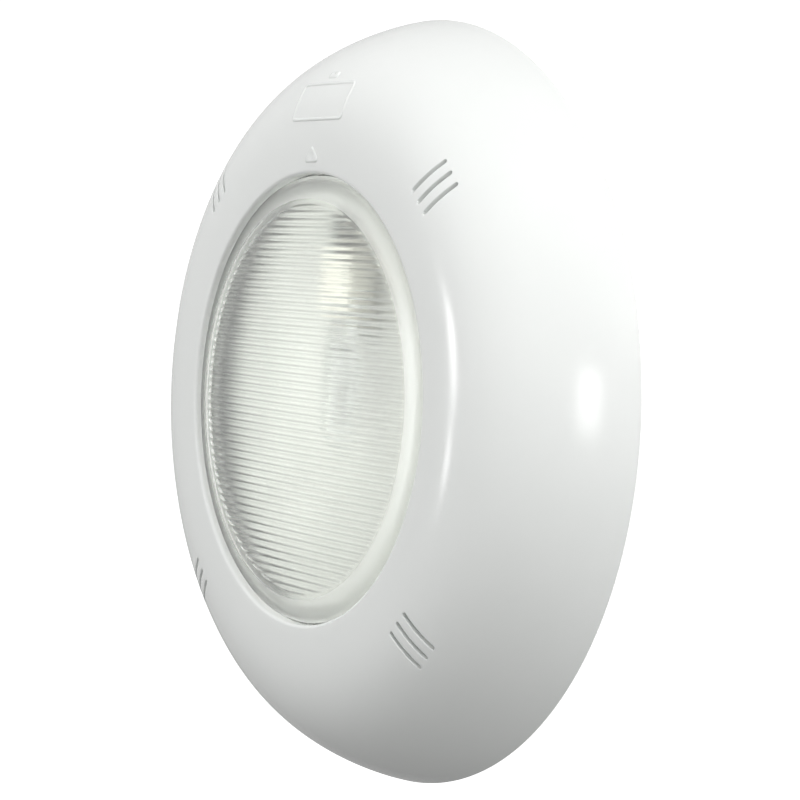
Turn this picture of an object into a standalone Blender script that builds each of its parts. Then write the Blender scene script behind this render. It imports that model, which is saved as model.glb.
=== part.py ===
"""Surface-mounted underwater pool light.

The light is laid out face up: x to the right, y up the wall, z out of the wall, all from the centre of
the wall bracket's back face. One empty, wall_axis, stands the whole light up against a wall in the XZ plane.
"""

import math

import bmesh
import bpy
from mathutils import Vector

# Driving dimensions, in metres.
GAP = 0.0003

BEZEL_RADIUS = 0.126
BEZEL_HEIGHT = 0.0425
BEZEL_WALL = 0.0026
BEZEL_RIM_LIFT = 0.0004
BEZEL_FLATNESS = 3.2
BEZEL_SHOULDER = 1.2
OPENING_RADIUS = 0.0730
LIP_RADIUS = 0.0012
LIP_DEPTH = 0.0042
LIP_WALL = 0.0022
SLOT_INNER_RADIUS = 0.0900
SLOT_OUTER_RADIUS = 0.1038
SLOT_PITCH = 0.00484
SLOT_WIDTH = 0.0014
SLOT_GROUP_ANGLES = (45, 135, 225, 315)
CLIP_ANGLES = (90, 210, 330)
CLIP_WIDTH = 0.026
CLIP_WALL = 0.0022
CLIP_FOOT = 0.0260

LENS_RADIUS = 0.0724
LENS_CROWN = 0.0455
LENS_BAND_RADIUS = 0.0645
LENS_BAND_HEIGHT = 0.0433
LENS_EDGE_HEIGHT = 0.0403
LENS_WALL = 0.0038
LENS_FLANGE_RADIUS = 0.0810
LENS_FLANGE_TOP = 0.0335
LENS_FLANGE_FOOT = 0.0310

GASKET_INNER_RADIUS = 0.0715
CLAMP_INNER_RADIUS = 0.0730
CLAMP_TOP = 0.0360
CLAMP_SCREW_RADIUS = 0.0847
CLAMP_SCREW_COUNT = 8
CLAMP_SCREW_LENGTH = 0.0065
CLAMP_SCREW_HOLE = 0.0019
CLAMP_SCREW_HEAD_RADIUS = 0.0031
CLAMP_SCREW_HEAD_HEIGHT = 0.0018
CLAMP_SCREW_SHANK = 0.0016
SCREW_HOLE_DEPTH = 0.0060

HOUSING_FLANGE_RADIUS = 0.0880
HOUSING_FLANGE_TOP = 0.0334
HOUSING_FLANGE_FOOT = 0.0255
HOUSING_RADIUS = 0.0770
HOUSING_WALL = 0.0025
HOUSING_FOOT = 0.0040
SEAT_HEIGHT = 0.0290
SEAT_RADIUS = 0.0813
LEDGE_HEIGHT = 0.0276
LEDGE_RADIUS = 0.0763
RECESS_RADIUS = 0.0620
RECESS_HEIGHT = 0.0110
FOOT_CHAMFER = 0.0015
STRAP_BOSS_RADIUS = 0.0040
GLAND_BOSS_RADIUS = 0.0112

REFLECTOR_SHEET = 0.0008
REFLECTOR_BOWL_RADIUS = 0.0705
REFLECTOR_FLOOR = 0.0150
BOWL_STATIONS = 5
WINDOW_HALF_WIDTH = 0.0120
WINDOW_LOW = 0.0270
WINDOW_HIGH = 0.0610
WINDOW_CORNER = 0.0030

LAMP_HEIGHT = 0.0250
CAPSULE_RADIUS = 0.00575
CAPSULE_WALL = 0.0011
CAPSULE_TIP = -0.0130
CAPSULE_MOUTH = 0.0220
PINCH_END = 0.0300
PINCH_WIDTH = 0.0100
PINCH_DEPTH = 0.0036
FILAMENT_TURNS = 6
FILAMENT_COIL_RADIUS = 0.0013
FILAMENT_HALF_LENGTH = 0.0040
FILAMENT_POST_OFFSET = 0.0022
FILAMENT_WIRE = 0.0003
PIN_RADIUS = 0.000625
PIN_LENGTH = 0.0075
PIN_SPACING = 0.00635
HOLDER_LENGTH = 0.0166
HOLDER_WIDTH = 0.0190
HOLDER_DEPTH = 0.0090
HOLDER_BORE = 0.0019
HOLDER_CORNER = 0.0020
CONTACT_BORE = 0.00095
CONTACT_RADIUS = 0.0016
CONTACT_START = 0.0315
CONTACT_END = 0.0400
HOLDER_SCREW_OFFSET = 0.0072
HOLDER_SCREW_LEVEL = 0.0400
HOLDER_SCREW_HOLE = 0.0013
STRAP_WIDTH = 0.0180
STRAP_FOOT_WIDTH = 0.0100
STRAP_START = 0.0310
STRAP_BEND_START = 0.0470
STRAP_BEND_END = 0.0490
STRAP_END = 0.0590
STRAP_SCREW_HOLE = 0.0017
STRAP_THICKNESS = 0.0008
STRAP_SCREW_LEVEL = 0.0550
STRAP_BOSS_TOP = 0.0170

LEAD_RADIUS = 0.0012
LEAD_HEIGHT = 0.0110
LEAD_CENTRE_RADIUS = 0.0694
LEAD_PITCH = 0.0046
LEAD_POINT_SPACING = 0.0075
LEAD_ARC_STATIONS = 10
TERMINAL_ANGLE = -50
TERMINAL_LENGTH = 0.0160
TERMINAL_WIDTH = 0.0090
TERMINAL_TOP = 0.0170
TERMINAL_BORE = 0.0017
TERMINAL_WELL = 0.0018
TERMINAL_SCREW_RADIUS = 0.0014
TERMINAL_SCREW_LENGTH = 0.0042
TERMINAL_SCREW_OFFSET = 0.0045

GLAND_HEIGHT = 0.0160
GLAND_THREAD = 0.0078
GLAND_SPANNER = 0.0180
GLAND_BORE = 0.0050
GLAND_FACE = 0.0790
GLAND_INNER_END = 0.0670
GLAND_SEAL_SEAT = 0.0840
GLAND_MOUTH = 0.0930
GLAND_CAP_END = 0.0970
COLLAR_LENGTH = 0.0050
WASHER_RADIUS = 0.0092
WASHER_THICKNESS = 0.0012
LOCKNUT_SPANNER = 0.0170
LOCKNUT_LENGTH = 0.0036
LOCKNUT_MIDDLE = 0.0713
CAP_THREAD = 0.0080
SEAL_RADIUS = 0.0063
CABLE_BORE = 0.0042

BRACKET_RADIUS = 0.0605
BRACKET_PLATE = 0.0030
BAYONET_RING_INNER = 0.0500
BAYONET_RING_OUTER = 0.0530
BAYONET_TOP = 0.0097
TAB_FOOT = 0.0072
TAB_RADIUS = 0.0595
LUG_TOP = 0.0068
LUG_FOOT = 0.0043
LUG_INNER_RADIUS = 0.0545
BAYONET_ANGLES = (90, 210, 330)
BAYONET_HALF_ANGLE = 10
STOP_ANGLE = 2.4
WALL_SCREW_RADIUS = 0.0360
WALL_SCREW_HOLE = 0.0029
WALL_SCREW_ANGLES = (30, 150, 270)

FINE_STEPS = 60
MEDIUM_STEPS = 48
SMALL_STEPS = 16
BEZEL_STATIONS = 11

for old in list(bpy.data.objects):
    bpy.data.objects.remove(old, do_unlink=True)

parts = bpy.data.collections.new("pool_light")
cutters = bpy.data.collections.new("cutters")
bpy.context.scene.collection.children.link(parts)
bpy.context.scene.collection.children.link(cutters)


# ---------------------------------------------------------------- materials

def finish(name, colour, roughness, metallic=0.0, alpha=1.0):
    """A Principled material with one colour."""
    material = bpy.data.materials.new(name)
    material.use_nodes = True
    shader = material.node_tree.nodes["Principled BSDF"]
    shader.inputs["Base Color"].default_value = (*colour, 1.0)
    shader.inputs["Roughness"].default_value = roughness
    shader.inputs["Metallic"].default_value = metallic
    shader.inputs["Alpha"].default_value = alpha
    return material


WHITE_ABS = finish("white_abs", (0.88, 0.89, 0.88), 0.18)
CLEAR_LENS = finish("clear_polycarbonate", (0.95, 0.97, 0.93), 0.05, alpha=0.35)
QUARTZ = finish("quartz", (0.96, 0.97, 0.98), 0.03, alpha=0.35)
GREY_HOUSING = finish("grey_housing", (0.32, 0.33, 0.34), 0.45)
BRACKET_PLASTIC = finish("bracket_plastic", (0.70, 0.71, 0.70), 0.50)
BRIGHT_ALUMINIUM = finish("bright_aluminium", (0.90, 0.90, 0.90), 0.12, metallic=1.0)
STAINLESS = finish("stainless", (0.62, 0.62, 0.60), 0.28, metallic=1.0)
STEATITE = finish("steatite", (0.86, 0.84, 0.78), 0.60)
SILICONE = finish("silicone", (0.16, 0.16, 0.17), 0.70)
LEAD_SLEEVE = finish("lead_sleeve", (0.78, 0.77, 0.73), 0.55)
TUNGSTEN = finish("tungsten", (0.30, 0.29, 0.28), 0.40, metallic=1.0)
NICKEL_BRASS = finish("nickel_brass", (0.74, 0.70, 0.60), 0.30, metallic=1.0)
BLACK_NYLON = finish("black_nylon", (0.05, 0.05, 0.055), 0.50)


# ------------------------------------------------------- placing and joining

def axis_empty(name, parent=None, place=(0, 0, 0), turn=(0, 0, 0)):
    """An empty on a joint's axis, which moving pieces hang from."""
    empty = bpy.data.objects.new(name, None)
    empty.empty_display_size = 0.02
    empty.location = place
    empty.rotation_euler = [math.radians(angle) for angle in turn]
    empty.parent = parent
    parts.objects.link(empty)
    return empty


def add_object(name, data, material, parent, place=(0, 0, 0), turn=(0, 0, 0)):
    """One named sub-part, placed in its parent's frame."""
    part = bpy.data.objects.new(name, data)
    data.materials.clear()
    data.materials.append(material)
    part.parent = parent
    part.location = place
    part.rotation_euler = [math.radians(angle) for angle in turn]
    parts.objects.link(part)
    return part


def make_cutter(part):
    """Move an object to the cutters, where it shows as wire and isn't built."""
    parts.objects.unlink(part)
    cutters.objects.link(part)
    part.hide_render = True
    part.display_type = "WIRE"
    return part


def boolean(part, tool, operation):
    """Cut a tool from a part, or join it on, with the exact solver."""
    make_cutter(tool)
    step = part.modifiers.new(operation.lower(), "BOOLEAN")
    step.operation = operation
    step.solver = "EXACT"
    step.object = tool
    return part


def polar(radius, degrees, height=0.0):
    """A point at a radius and angle on the face of the light."""
    angle = math.radians(degrees)
    return Vector((radius * math.cos(angle), radius * math.sin(angle), height))


# ------------------------------------------------------------- basic shapes

def turned(name, outline, material, parent, steps=MEDIUM_STEPS, place=(0, 0, 0), turn=(0, 0, 0)):
    """A turned piece. The outline holds (radius, height) pairs and runs down its outer side.

    An outline that starts and ends on the axis is left open, and any other is closed into a ring.
    """
    on_axis = outline[0][0] == 0 and outline[-1][0] == 0
    count = len(outline)
    edges = [(i, i + 1) for i in range(count - 1)]
    if not on_axis:
        edges.append((count - 1, 0))
    mesh = bpy.data.meshes.new(name)
    mesh.from_pydata([(radius, 0, height) for radius, height in outline], edges, [])
    part = add_object(name, mesh, material, parent, place, turn)
    spin = part.modifiers.new("turn", "SCREW")
    spin.axis = "Z"
    spin.steps = steps
    spin.render_steps = steps
    spin.use_merge_vertices = True
    spin.merge_threshold = 0.00001
    spin.use_smooth_shade = True
    return part


def plate(name, outline, thickness, material, parent, place=(0, 0, 0), turn=(0, 0, 0)):
    """A flat outline, given half its thickness each way, made into a mesh."""
    curve = bpy.data.curves.new(name, "CURVE")
    curve.dimensions = "2D"
    curve.fill_mode = "BOTH"
    curve.extrude = thickness / 2
    spline = curve.splines.new("POLY")
    spline.points.add(len(outline) - 1)
    for point, (x, y) in zip(spline.points, outline):
        point.co = (x, y, 0, 1)
    spline.use_cyclic_u = True
    flat = bpy.data.objects.new(name + "_outline", curve)
    parts.objects.link(flat)
    mesh = mesh_of(flat)
    return add_object(name, mesh, material, parent, place, turn)


def mesh_of(shape):
    """The welded mesh of a curve, which then takes its place."""
    view = bpy.context.evaluated_depsgraph_get()
    mesh = bpy.data.meshes.new_from_object(shape.evaluated_get(view))
    bpy.data.objects.remove(shape, do_unlink=True)
    work = bmesh.new()
    work.from_mesh(mesh)
    bmesh.ops.remove_doubles(work, verts=work.verts, dist=0.000001)
    bmesh.ops.recalc_face_normals(work, faces=work.faces)
    work.to_mesh(mesh)
    work.free()
    return mesh


def wire(name, points, radius, material, parent, sides=2, place=(0, 0, 0), turn=(0, 0, 0)):
    """A round wire along a route of close points, with filled ends."""
    curve = bpy.data.curves.new(name, "CURVE")
    curve.dimensions = "3D"
    curve.bevel_depth = radius
    curve.bevel_resolution = sides
    curve.use_fill_caps = True
    spline = curve.splines.new("POLY")
    spline.points.add(len(points) - 1)
    for point, spot in zip(spline.points, points):
        point.co = (*spot, 1)
    return add_object(name, curve, material, parent, place, turn)


def smooth_route(stations, spacing):
    """Evenly read points on a smooth curve that passes through every station."""
    ends = [2 * stations[0] - stations[1]] + stations + [2 * stations[-1] - stations[-2]]
    route = []
    for before, start, end, after in zip(ends, ends[1:], ends[2:], ends[3:]):
        count = max(1, round((end - start).length / spacing))
        for step in range(count):
            t = step / count
            pull = (end - before) * t + (2 * before - 5 * start + 4 * end - after) * t ** 2
            swing = (3 * start - before - 3 * end + after) * t ** 3
            route.append(start + (pull + swing) / 2)
    return route + [stations[-1]]


def drum(name, radius, length, parent, place=(0, 0, 0), turn=(0, 0, 0), steps=SMALL_STEPS):
    """A plain cylinder, centred on its place, for cutting holes or raising bosses."""
    work = bmesh.new()
    bmesh.ops.create_cone(work, cap_ends=True, segments=steps, radius1=radius, radius2=radius, depth=length)
    mesh = bpy.data.meshes.new(name)
    work.to_mesh(mesh)
    work.free()
    return add_object(name, mesh, WHITE_ABS, parent, place, turn)


def block(name, size, material, parent, place=(0, 0, 0), turn=(0, 0, 0)):
    """A box of a given size, centred on its place."""
    work = bmesh.new()
    bmesh.ops.create_cube(work, size=1.0)
    bmesh.ops.scale(work, vec=size, verts=work.verts)
    mesh = bpy.data.meshes.new(name)
    work.to_mesh(mesh)
    work.free()
    return add_object(name, mesh, material, parent, place, turn)


def hexagon(across_flats):
    """The corners of a nut, with its flats facing up and down."""
    corner = across_flats / math.sqrt(3)
    return [tuple(polar(corner, 60 * i).xy) for i in range(6)]


def sector(inner, outer, start, end, steps=8):
    """The outline of a stretch of a ring, between two angles in degrees."""
    angles = [start + (end - start) * i / steps for i in range(steps + 1)]
    outside = [tuple(polar(outer, angle).xy) for angle in angles]
    inside = [tuple(polar(inner, angle).xy) for angle in reversed(angles)]
    return outside + inside


def rounded_box(half_width, half_height, radius, steps=4):
    """The outline of a rectangle with round corners."""
    corners = ((1, 1, 0), (-1, 1, 90), (-1, -1, 180), (1, -1, 270))
    outline = []
    for across, along, first in corners:
        centre = Vector((across * (half_width - radius), along * (half_height - radius)))
        for i in range(steps + 1):
            outline.append(tuple(centre + polar(radius, first + 90 * i / steps).xy))
    return outline


def pan_screw(name, head_radius, head_height, shank_radius, length, parent, place, turn=(0, 0, 0)):
    """A pan-head screw. Its place is the underside of its head, and its shank runs down from there."""
    socket = head_radius * 0.45
    outline = [
        (0, head_height * 0.45),
        (socket * 0.6, head_height * 0.45),
        (socket, head_height),
        (head_radius * 0.7, head_height),
        (head_radius, head_height * 0.45),
        (head_radius, 0),
        (shank_radius, 0),
        (shank_radius, -length * 0.85),
        (0, -length),
    ]
    return turned(name, outline, STAINLESS, parent, steps=10, place=place, turn=turn)


# --------------------------------------------------------------------- axes

wall_axis = axis_empty("wall_axis", turn=(90, 0, 0))
head_axis = axis_empty("head_axis", parent=wall_axis)
bezel_axis = axis_empty("bezel_axis", parent=head_axis)
bulb_axis = axis_empty("bulb_axis", parent=head_axis, place=(0, 0, LAMP_HEIGHT), turn=(-90, 0, 0))


# -------------------------------------------------------------------- bezel

def bezel_height(radius):
    """Height of the dome's outer face: nearly flat by the lens, and steep at the rim."""
    reach = (radius - OPENING_RADIUS) / (BEZEL_RADIUS - OPENING_RADIUS)
    return BEZEL_HEIGHT * max(0.0, 1 - reach ** BEZEL_FLATNESS) ** (1 / BEZEL_SHOULDER)


def bezel_outline():
    """The dome's section: over the top to the rim, then back under it to the lip round the lens."""
    span = BEZEL_RADIUS - OPENING_RADIUS
    outer = []
    for i in range(BEZEL_STATIONS + 1):
        share = math.sin(math.pi / 2 * i / BEZEL_STATIONS)
        radius = OPENING_RADIUS + LIP_RADIUS + (span - LIP_RADIUS) * share
        outer.append((radius, max(bezel_height(radius), BEZEL_RIM_LIFT)))
    inner = []
    for before, here, after in zip(outer, outer[1:], outer[2:]):
        along = Vector((after[0] - before[0], after[1] - before[1])).normalized()
        inner.append((here[0] + along.y * BEZEL_WALL, here[1] - along.x * BEZEL_WALL))
    inner = [spot for spot in inner if spot[0] > OPENING_RADIUS + LIP_WALL]
    inner = [(radius, max(height, BEZEL_RIM_LIFT)) for radius, height in inner]
    foot = (BEZEL_RADIUS - BEZEL_WALL, BEZEL_RIM_LIFT)
    lip_foot = BEZEL_HEIGHT - LIP_DEPTH
    lip = [
        (OPENING_RADIUS + LIP_WALL, BEZEL_HEIGHT - BEZEL_WALL),
        (OPENING_RADIUS + LIP_WALL, lip_foot),
        (OPENING_RADIUS, lip_foot),
        (OPENING_RADIUS, BEZEL_HEIGHT - LIP_RADIUS),
        (OPENING_RADIUS + LIP_RADIUS * 0.3, BEZEL_HEIGHT - LIP_RADIUS * 0.3),
    ]
    return outer + [foot] + list(reversed(inner)) + lip


def make_bezel():
    """The dome, with three clip arms that push over the housing's flange, and twelve slots."""
    bezel = turned("bezel", bezel_outline(), WHITE_ABS, bezel_axis, steps=FINE_STEPS)
    arm_top = BEZEL_HEIGHT - BEZEL_WALL
    arm_inner = HOUSING_FLANGE_RADIUS + GAP
    half_angle = math.degrees(CLIP_WIDTH / 2 / arm_inner)
    for angle in CLIP_ANGLES:
        outline = sector(arm_inner, arm_inner + CLIP_WALL, angle - half_angle, angle + half_angle, steps=4)
        height = (arm_top + CLIP_FOOT) / 2
        arm = plate("clip_arm", outline, arm_top - CLIP_FOOT, WHITE_ABS, bezel_axis, place=(0, 0, height))
        boolean(bezel, arm, "UNION")
    length = SLOT_OUTER_RADIUS - SLOT_INNER_RADIUS
    middle = (SLOT_OUTER_RADIUS + SLOT_INNER_RADIUS) / 2
    for angle in SLOT_GROUP_ANGLES:
        for row in (-1, 0, 1):
            outline = rounded_box(length / 2, SLOT_WIDTH / 2, SLOT_WIDTH * 0.45, steps=1)
            place = polar(middle, angle, BEZEL_HEIGHT) + polar(row * SLOT_PITCH, angle + 90)
            turn = (0, 0, angle)
            slot = plate("slot", outline, BEZEL_HEIGHT, WHITE_ABS, bezel_axis, place, turn)
            boolean(bezel, slot, "DIFFERENCE")
    return bezel


# ---------------------------------------------------- lens, gasket and clamp

def crown(radius, edge_radius, edge_height, centre_height):
    """Height of a shallow dome at a radius."""
    return centre_height - (centre_height - edge_height) * (radius / edge_radius) ** 2


def make_lens():
    """The lens: a shallow dome on a short wall, with a flange that the clamp ring holds."""
    rings = [LENS_BAND_RADIUS * i / 3 for i in range(4)]
    outer = [(r, crown(r, LENS_BAND_RADIUS, LENS_BAND_HEIGHT, LENS_CROWN)) for r in rings]
    inner = [(r, height - LENS_WALL) for r, height in outer]
    wall_inner = LENS_RADIUS - LENS_WALL / 2
    side = [
        (LENS_RADIUS - 0.0008, LENS_EDGE_HEIGHT + 0.0008),
        (LENS_RADIUS, LENS_EDGE_HEIGHT),
        (LENS_RADIUS, LENS_FLANGE_TOP),
        (LENS_FLANGE_RADIUS, LENS_FLANGE_TOP),
        (LENS_FLANGE_RADIUS, LENS_FLANGE_FOOT),
        (wall_inner, LENS_FLANGE_FOOT),
        (wall_inner, LENS_EDGE_HEIGHT - LENS_WALL / 2),
    ]
    return turned("lens", outer + side + list(reversed(inner)), CLEAR_LENS, head_axis, steps=FINE_STEPS)


def ring(name, inner, outer, foot, top, material, steps=FINE_STEPS):
    """A flat ring round the light's axis."""
    outline = [(inner, top), (outer, top), (outer, foot), (inner, foot)]
    return turned(name, outline, material, head_axis, steps=steps)


def make_clamp():
    """The gasket under the lens flange, the ring over it, and the screws that pull them together."""
    gasket_foot = SEAT_HEIGHT + GAP
    gasket_top = LENS_FLANGE_FOOT - GAP
    ring("lens_gasket", GASKET_INNER_RADIUS, LENS_FLANGE_RADIUS, gasket_foot, gasket_top, SILICONE)
    clamp_foot = LENS_FLANGE_TOP + GAP
    clamp = ring("clamp_ring", CLAMP_INNER_RADIUS, HOUSING_FLANGE_RADIUS, clamp_foot, CLAMP_TOP, STAINLESS)
    for number in range(CLAMP_SCREW_COUNT):
        angle = 360 * (number + 0.5) / CLAMP_SCREW_COUNT
        place = polar(CLAMP_SCREW_RADIUS, angle, CLAMP_TOP + GAP)
        hole = drum("screw_hole", CLAMP_SCREW_HOLE, 2 * SCREW_HOLE_DEPTH, head_axis, place, steps=12)
        boolean(clamp, hole, "DIFFERENCE")
        head = (CLAMP_SCREW_HEAD_RADIUS, CLAMP_SCREW_HEAD_HEIGHT)
        pan_screw(f"clamp_screw_{number + 1}", *head, CLAMP_SCREW_SHANK, CLAMP_SCREW_LENGTH, head_axis, place)


# ------------------------------------------------------------------ housing

def make_housing():
    """The sealed cup, with a recess behind for the bracket and a channel inside for the leads."""
    inner_radius = HOUSING_RADIUS - HOUSING_WALL
    channel_radius = RECESS_RADIUS + HOUSING_WALL
    floor = RECESS_HEIGHT + HOUSING_WALL
    channel_floor = HOUSING_FOOT + HOUSING_WALL
    outline = [
        (0, floor),
        (channel_radius, floor),
        (channel_radius, channel_floor),
        (inner_radius, channel_floor),
        (inner_radius, LEDGE_HEIGHT),
        (LEDGE_RADIUS, LEDGE_HEIGHT),
        (LEDGE_RADIUS, SEAT_HEIGHT),
        (SEAT_RADIUS, SEAT_HEIGHT),
        (SEAT_RADIUS, HOUSING_FLANGE_TOP),
        (HOUSING_FLANGE_RADIUS, HOUSING_FLANGE_TOP),
        (HOUSING_FLANGE_RADIUS, HOUSING_FLANGE_FOOT),
        (HOUSING_RADIUS, HOUSING_FLANGE_FOOT),
        (HOUSING_RADIUS, HOUSING_FOOT + FOOT_CHAMFER),
        (HOUSING_RADIUS - FOOT_CHAMFER, HOUSING_FOOT),
        (RECESS_RADIUS, HOUSING_FOOT),
        (RECESS_RADIUS, RECESS_HEIGHT),
        (0, RECESS_HEIGHT),
    ]
    housing = turned("housing", outline, GREY_HOUSING, head_axis, steps=FINE_STEPS)
    add_bayonet_lugs(housing)
    add_gland_boss(housing)
    boss_height = STRAP_BOSS_TOP - RECESS_HEIGHT - 0.001
    boss_middle = STRAP_BOSS_TOP - boss_height / 2
    boss_place = (0, STRAP_SCREW_LEVEL, boss_middle)
    boss = drum("strap_boss", STRAP_BOSS_RADIUS, boss_height, head_axis, boss_place)
    boolean(housing, boss, "UNION")
    pilot_place = (0, STRAP_SCREW_LEVEL, STRAP_BOSS_TOP)
    pilot = drum("strap_pilot", STRAP_SCREW_HOLE, 0.009, head_axis, pilot_place, steps=12)
    boolean(housing, pilot, "DIFFERENCE")
    for number in range(CLAMP_SCREW_COUNT):
        place = polar(CLAMP_SCREW_RADIUS, 360 * (number + 0.5) / CLAMP_SCREW_COUNT, HOUSING_FLANGE_TOP)
        pilot = drum("screw_pilot", CLAMP_SCREW_HOLE, 2 * SCREW_HOLE_DEPTH, head_axis, place, steps=12)
        boolean(housing, pilot, "DIFFERENCE")
    return housing


def add_bayonet_lugs(housing):
    """Three lugs inside the recess, which pass behind the bracket's tabs."""
    for angle in BAYONET_ANGLES:
        start = angle - BAYONET_HALF_ANGLE
        outline = sector(LUG_INNER_RADIUS, RECESS_RADIUS + 0.001, start, start + 2 * BAYONET_HALF_ANGLE)
        place = (0, 0, (LUG_TOP + LUG_FOOT) / 2)
        lug = plate("bayonet_lug", outline, LUG_TOP - LUG_FOOT, GREY_HOUSING, head_axis, place=place)
        boolean(housing, lug, "UNION")


def add_gland_boss(housing):
    """A flat-faced boss at the bottom of the wall, bored through for the gland's thread."""
    start = HOUSING_RADIUS - HOUSING_WALL / 2
    length = GLAND_FACE - start
    place = (0, -(GLAND_FACE + start) / 2, GLAND_HEIGHT)
    boss = drum("gland_boss", GLAND_BOSS_RADIUS, length, head_axis, place, (90, 0, 0), steps=32)
    boolean(housing, boss, "UNION")
    place = (0, -HOUSING_RADIUS, GLAND_HEIGHT)
    bore = GLAND_THREAD + GAP
    boolean(housing, drum("gland_bore", bore, 0.012, head_axis, place, (90, 0, 0), steps=24), "DIFFERENCE")


# ---------------------------------------------------------------- reflector

def make_reflector():
    """A spun bowl with a flat rim, and a window near its top for the lamp holder and its leads."""
    rim_top = LEDGE_HEIGHT + GAP + REFLECTOR_SHEET
    rings = [REFLECTOR_BOWL_RADIUS * i / BOWL_STATIONS for i in range(BOWL_STATIONS + 1)]
    foot = REFLECTOR_FLOOR + REFLECTOR_SHEET
    bowl = [(r, foot + (rim_top - foot) * (r / REFLECTOR_BOWL_RADIUS) ** 2) for r in rings]
    back = [(r, height - REFLECTOR_SHEET) for r, height in bowl]
    rim_radius = LEDGE_RADIUS - GAP
    rim = [(rim_radius, rim_top), (rim_radius, rim_top - REFLECTOR_SHEET)]
    reflector = turned("reflector", bowl + rim + list(reversed(back)), BRIGHT_ALUMINIUM, head_axis)
    height = WINDOW_HIGH - WINDOW_LOW
    middle = (WINDOW_HIGH + WINDOW_LOW) / 2
    outline = rounded_box(WINDOW_HALF_WIDTH, height / 2, WINDOW_CORNER, steps=3)
    window = plate("window", outline, 0.03, BRIGHT_ALUMINIUM, head_axis, place=(0, middle, 0.02))
    boolean(reflector, window, "DIFFERENCE")
    return reflector


# --------------------------------------------------------------------- lamp

def make_bulb():
    """A capsule lamp: its own z axis runs from the tip, past the filament at 0, to the pins."""
    inner = CAPSULE_RADIUS - CAPSULE_WALL
    shoulder = CAPSULE_TIP + CAPSULE_RADIUS
    arc = [(math.cos(math.radians(a)), math.sin(math.radians(a))) for a in (0, 30, 60)]
    outside = [(CAPSULE_RADIUS * c, shoulder - CAPSULE_RADIUS * s) for c, s in arc]
    inside = [(inner * c, shoulder - inner * s) for c, s in reversed(arc)]
    outline = [(inner, CAPSULE_MOUTH), (CAPSULE_RADIUS, CAPSULE_MOUTH)] + outside
    outline += [(0, CAPSULE_TIP), (0, shoulder - inner)] + inside
    turned_shell("bulb_capsule", outline, QUARTZ, bulb_axis, steps=20)
    pinch_start = CAPSULE_MOUTH + GAP
    height = PINCH_END - pinch_start
    place = (0, 0, (PINCH_END + pinch_start) / 2)
    pinch = block("bulb_pinch", (PINCH_WIDTH, PINCH_DEPTH, height), QUARTZ, bulb_axis, place)
    round_edges(pinch, 0.0008)
    for side, name in ((-1, "left"), (1, "right")):
        start = PINCH_END + GAP
        outline = [(0, start + PIN_LENGTH), (PIN_RADIUS, start + PIN_LENGTH), (PIN_RADIUS, start), (0, start)]
        place = (side * PIN_SPACING / 2, 0, 0)
        turned(f"bulb_pin_{name}", outline, STAINLESS, bulb_axis, steps=10, place=place)
    make_filament()


def turned_shell(name, outline, material, parent, steps):
    """A turned cup whose section touches the axis twice at one end, and is open at the other."""
    first = next(i for i, spot in enumerate(outline) if spot[0] == 0)
    opened = outline[first + 1:] + outline[:first + 1]
    return turned(name, opened, material, parent, steps=steps)


def make_filament():
    """The coil on the lamp's axis, with a lead wire from each end back towards the pinch."""
    post = FILAMENT_POST_OFFSET
    half_length = FILAMENT_HALF_LENGTH
    end = CAPSULE_MOUTH - GAP
    steps_in_turn = 8
    steps = FILAMENT_TURNS * steps_in_turn
    route = [Vector((-post, 0, end)), Vector((-post, 0, -half_length - 0.001))]
    for i in range(steps + 1):
        spot = polar(FILAMENT_COIL_RADIUS, 360 * i / steps_in_turn + 180)
        spot.z = -half_length + 2 * half_length * i / steps
        route.append(spot)
    route += [Vector((post, 0, half_length + 0.001)), Vector((post, 0, end))]
    wire("bulb_filament", route, FILAMENT_WIRE, TUNGSTEN, bulb_axis, sides=0)


def round_edges(part, width, segments=1):
    """Ease every sharp edge of a block."""
    ease = part.modifiers.new("ease", "BEVEL")
    ease.width = width
    ease.segments = segments
    return part


# ------------------------------------------------- lamp holder and its strap

def make_lamp_holder():
    """The ceramic holder with its two contacts, on a bent strap that is screwed to the housing."""
    start = PINCH_END + 0.0004
    middle = start + HOLDER_LENGTH / 2
    outline = rounded_box(HOLDER_WIDTH / 2, HOLDER_LENGTH / 2, HOLDER_CORNER)
    place = (0, middle, LAMP_HEIGHT)
    holder = plate("lamp_holder", outline, HOLDER_DEPTH, STEATITE, head_axis, place=place)
    contact = [
        (CONTACT_BORE, CONTACT_END),
        (CONTACT_RADIUS, CONTACT_END),
        (CONTACT_RADIUS, CONTACT_START),
        (CONTACT_BORE, CONTACT_START),
    ]
    for side, name in ((-1, "left"), (1, "right")):
        across = side * PIN_SPACING / 2
        bore_place = (across, middle, LAMP_HEIGHT)
        bore = drum("contact_bore", HOLDER_BORE, 0.03, head_axis, bore_place, (90, 0, 0), steps=12)
        boolean(holder, bore, "DIFFERENCE")
        turned(f"holder_contact_{name}", contact, NICKEL_BRASS, bulb_axis, steps=10, place=(across, 0, 0))
        fixing = (side * HOLDER_SCREW_OFFSET, HOLDER_SCREW_LEVEL, LAMP_HEIGHT)
        fixing_hole = drum("fixing_hole", HOLDER_SCREW_HOLE, 0.02, head_axis, fixing, steps=12)
        boolean(holder, fixing_hole, "DIFFERENCE")
        head_foot = LAMP_HEIGHT + HOLDER_DEPTH / 2 + GAP
        place = (side * HOLDER_SCREW_OFFSET, HOLDER_SCREW_LEVEL, head_foot)
        pan_screw(f"holder_screw_{name}", 0.0019, 0.0012, 0.0010, 0.0105, head_axis, place)
    make_strap()


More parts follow.
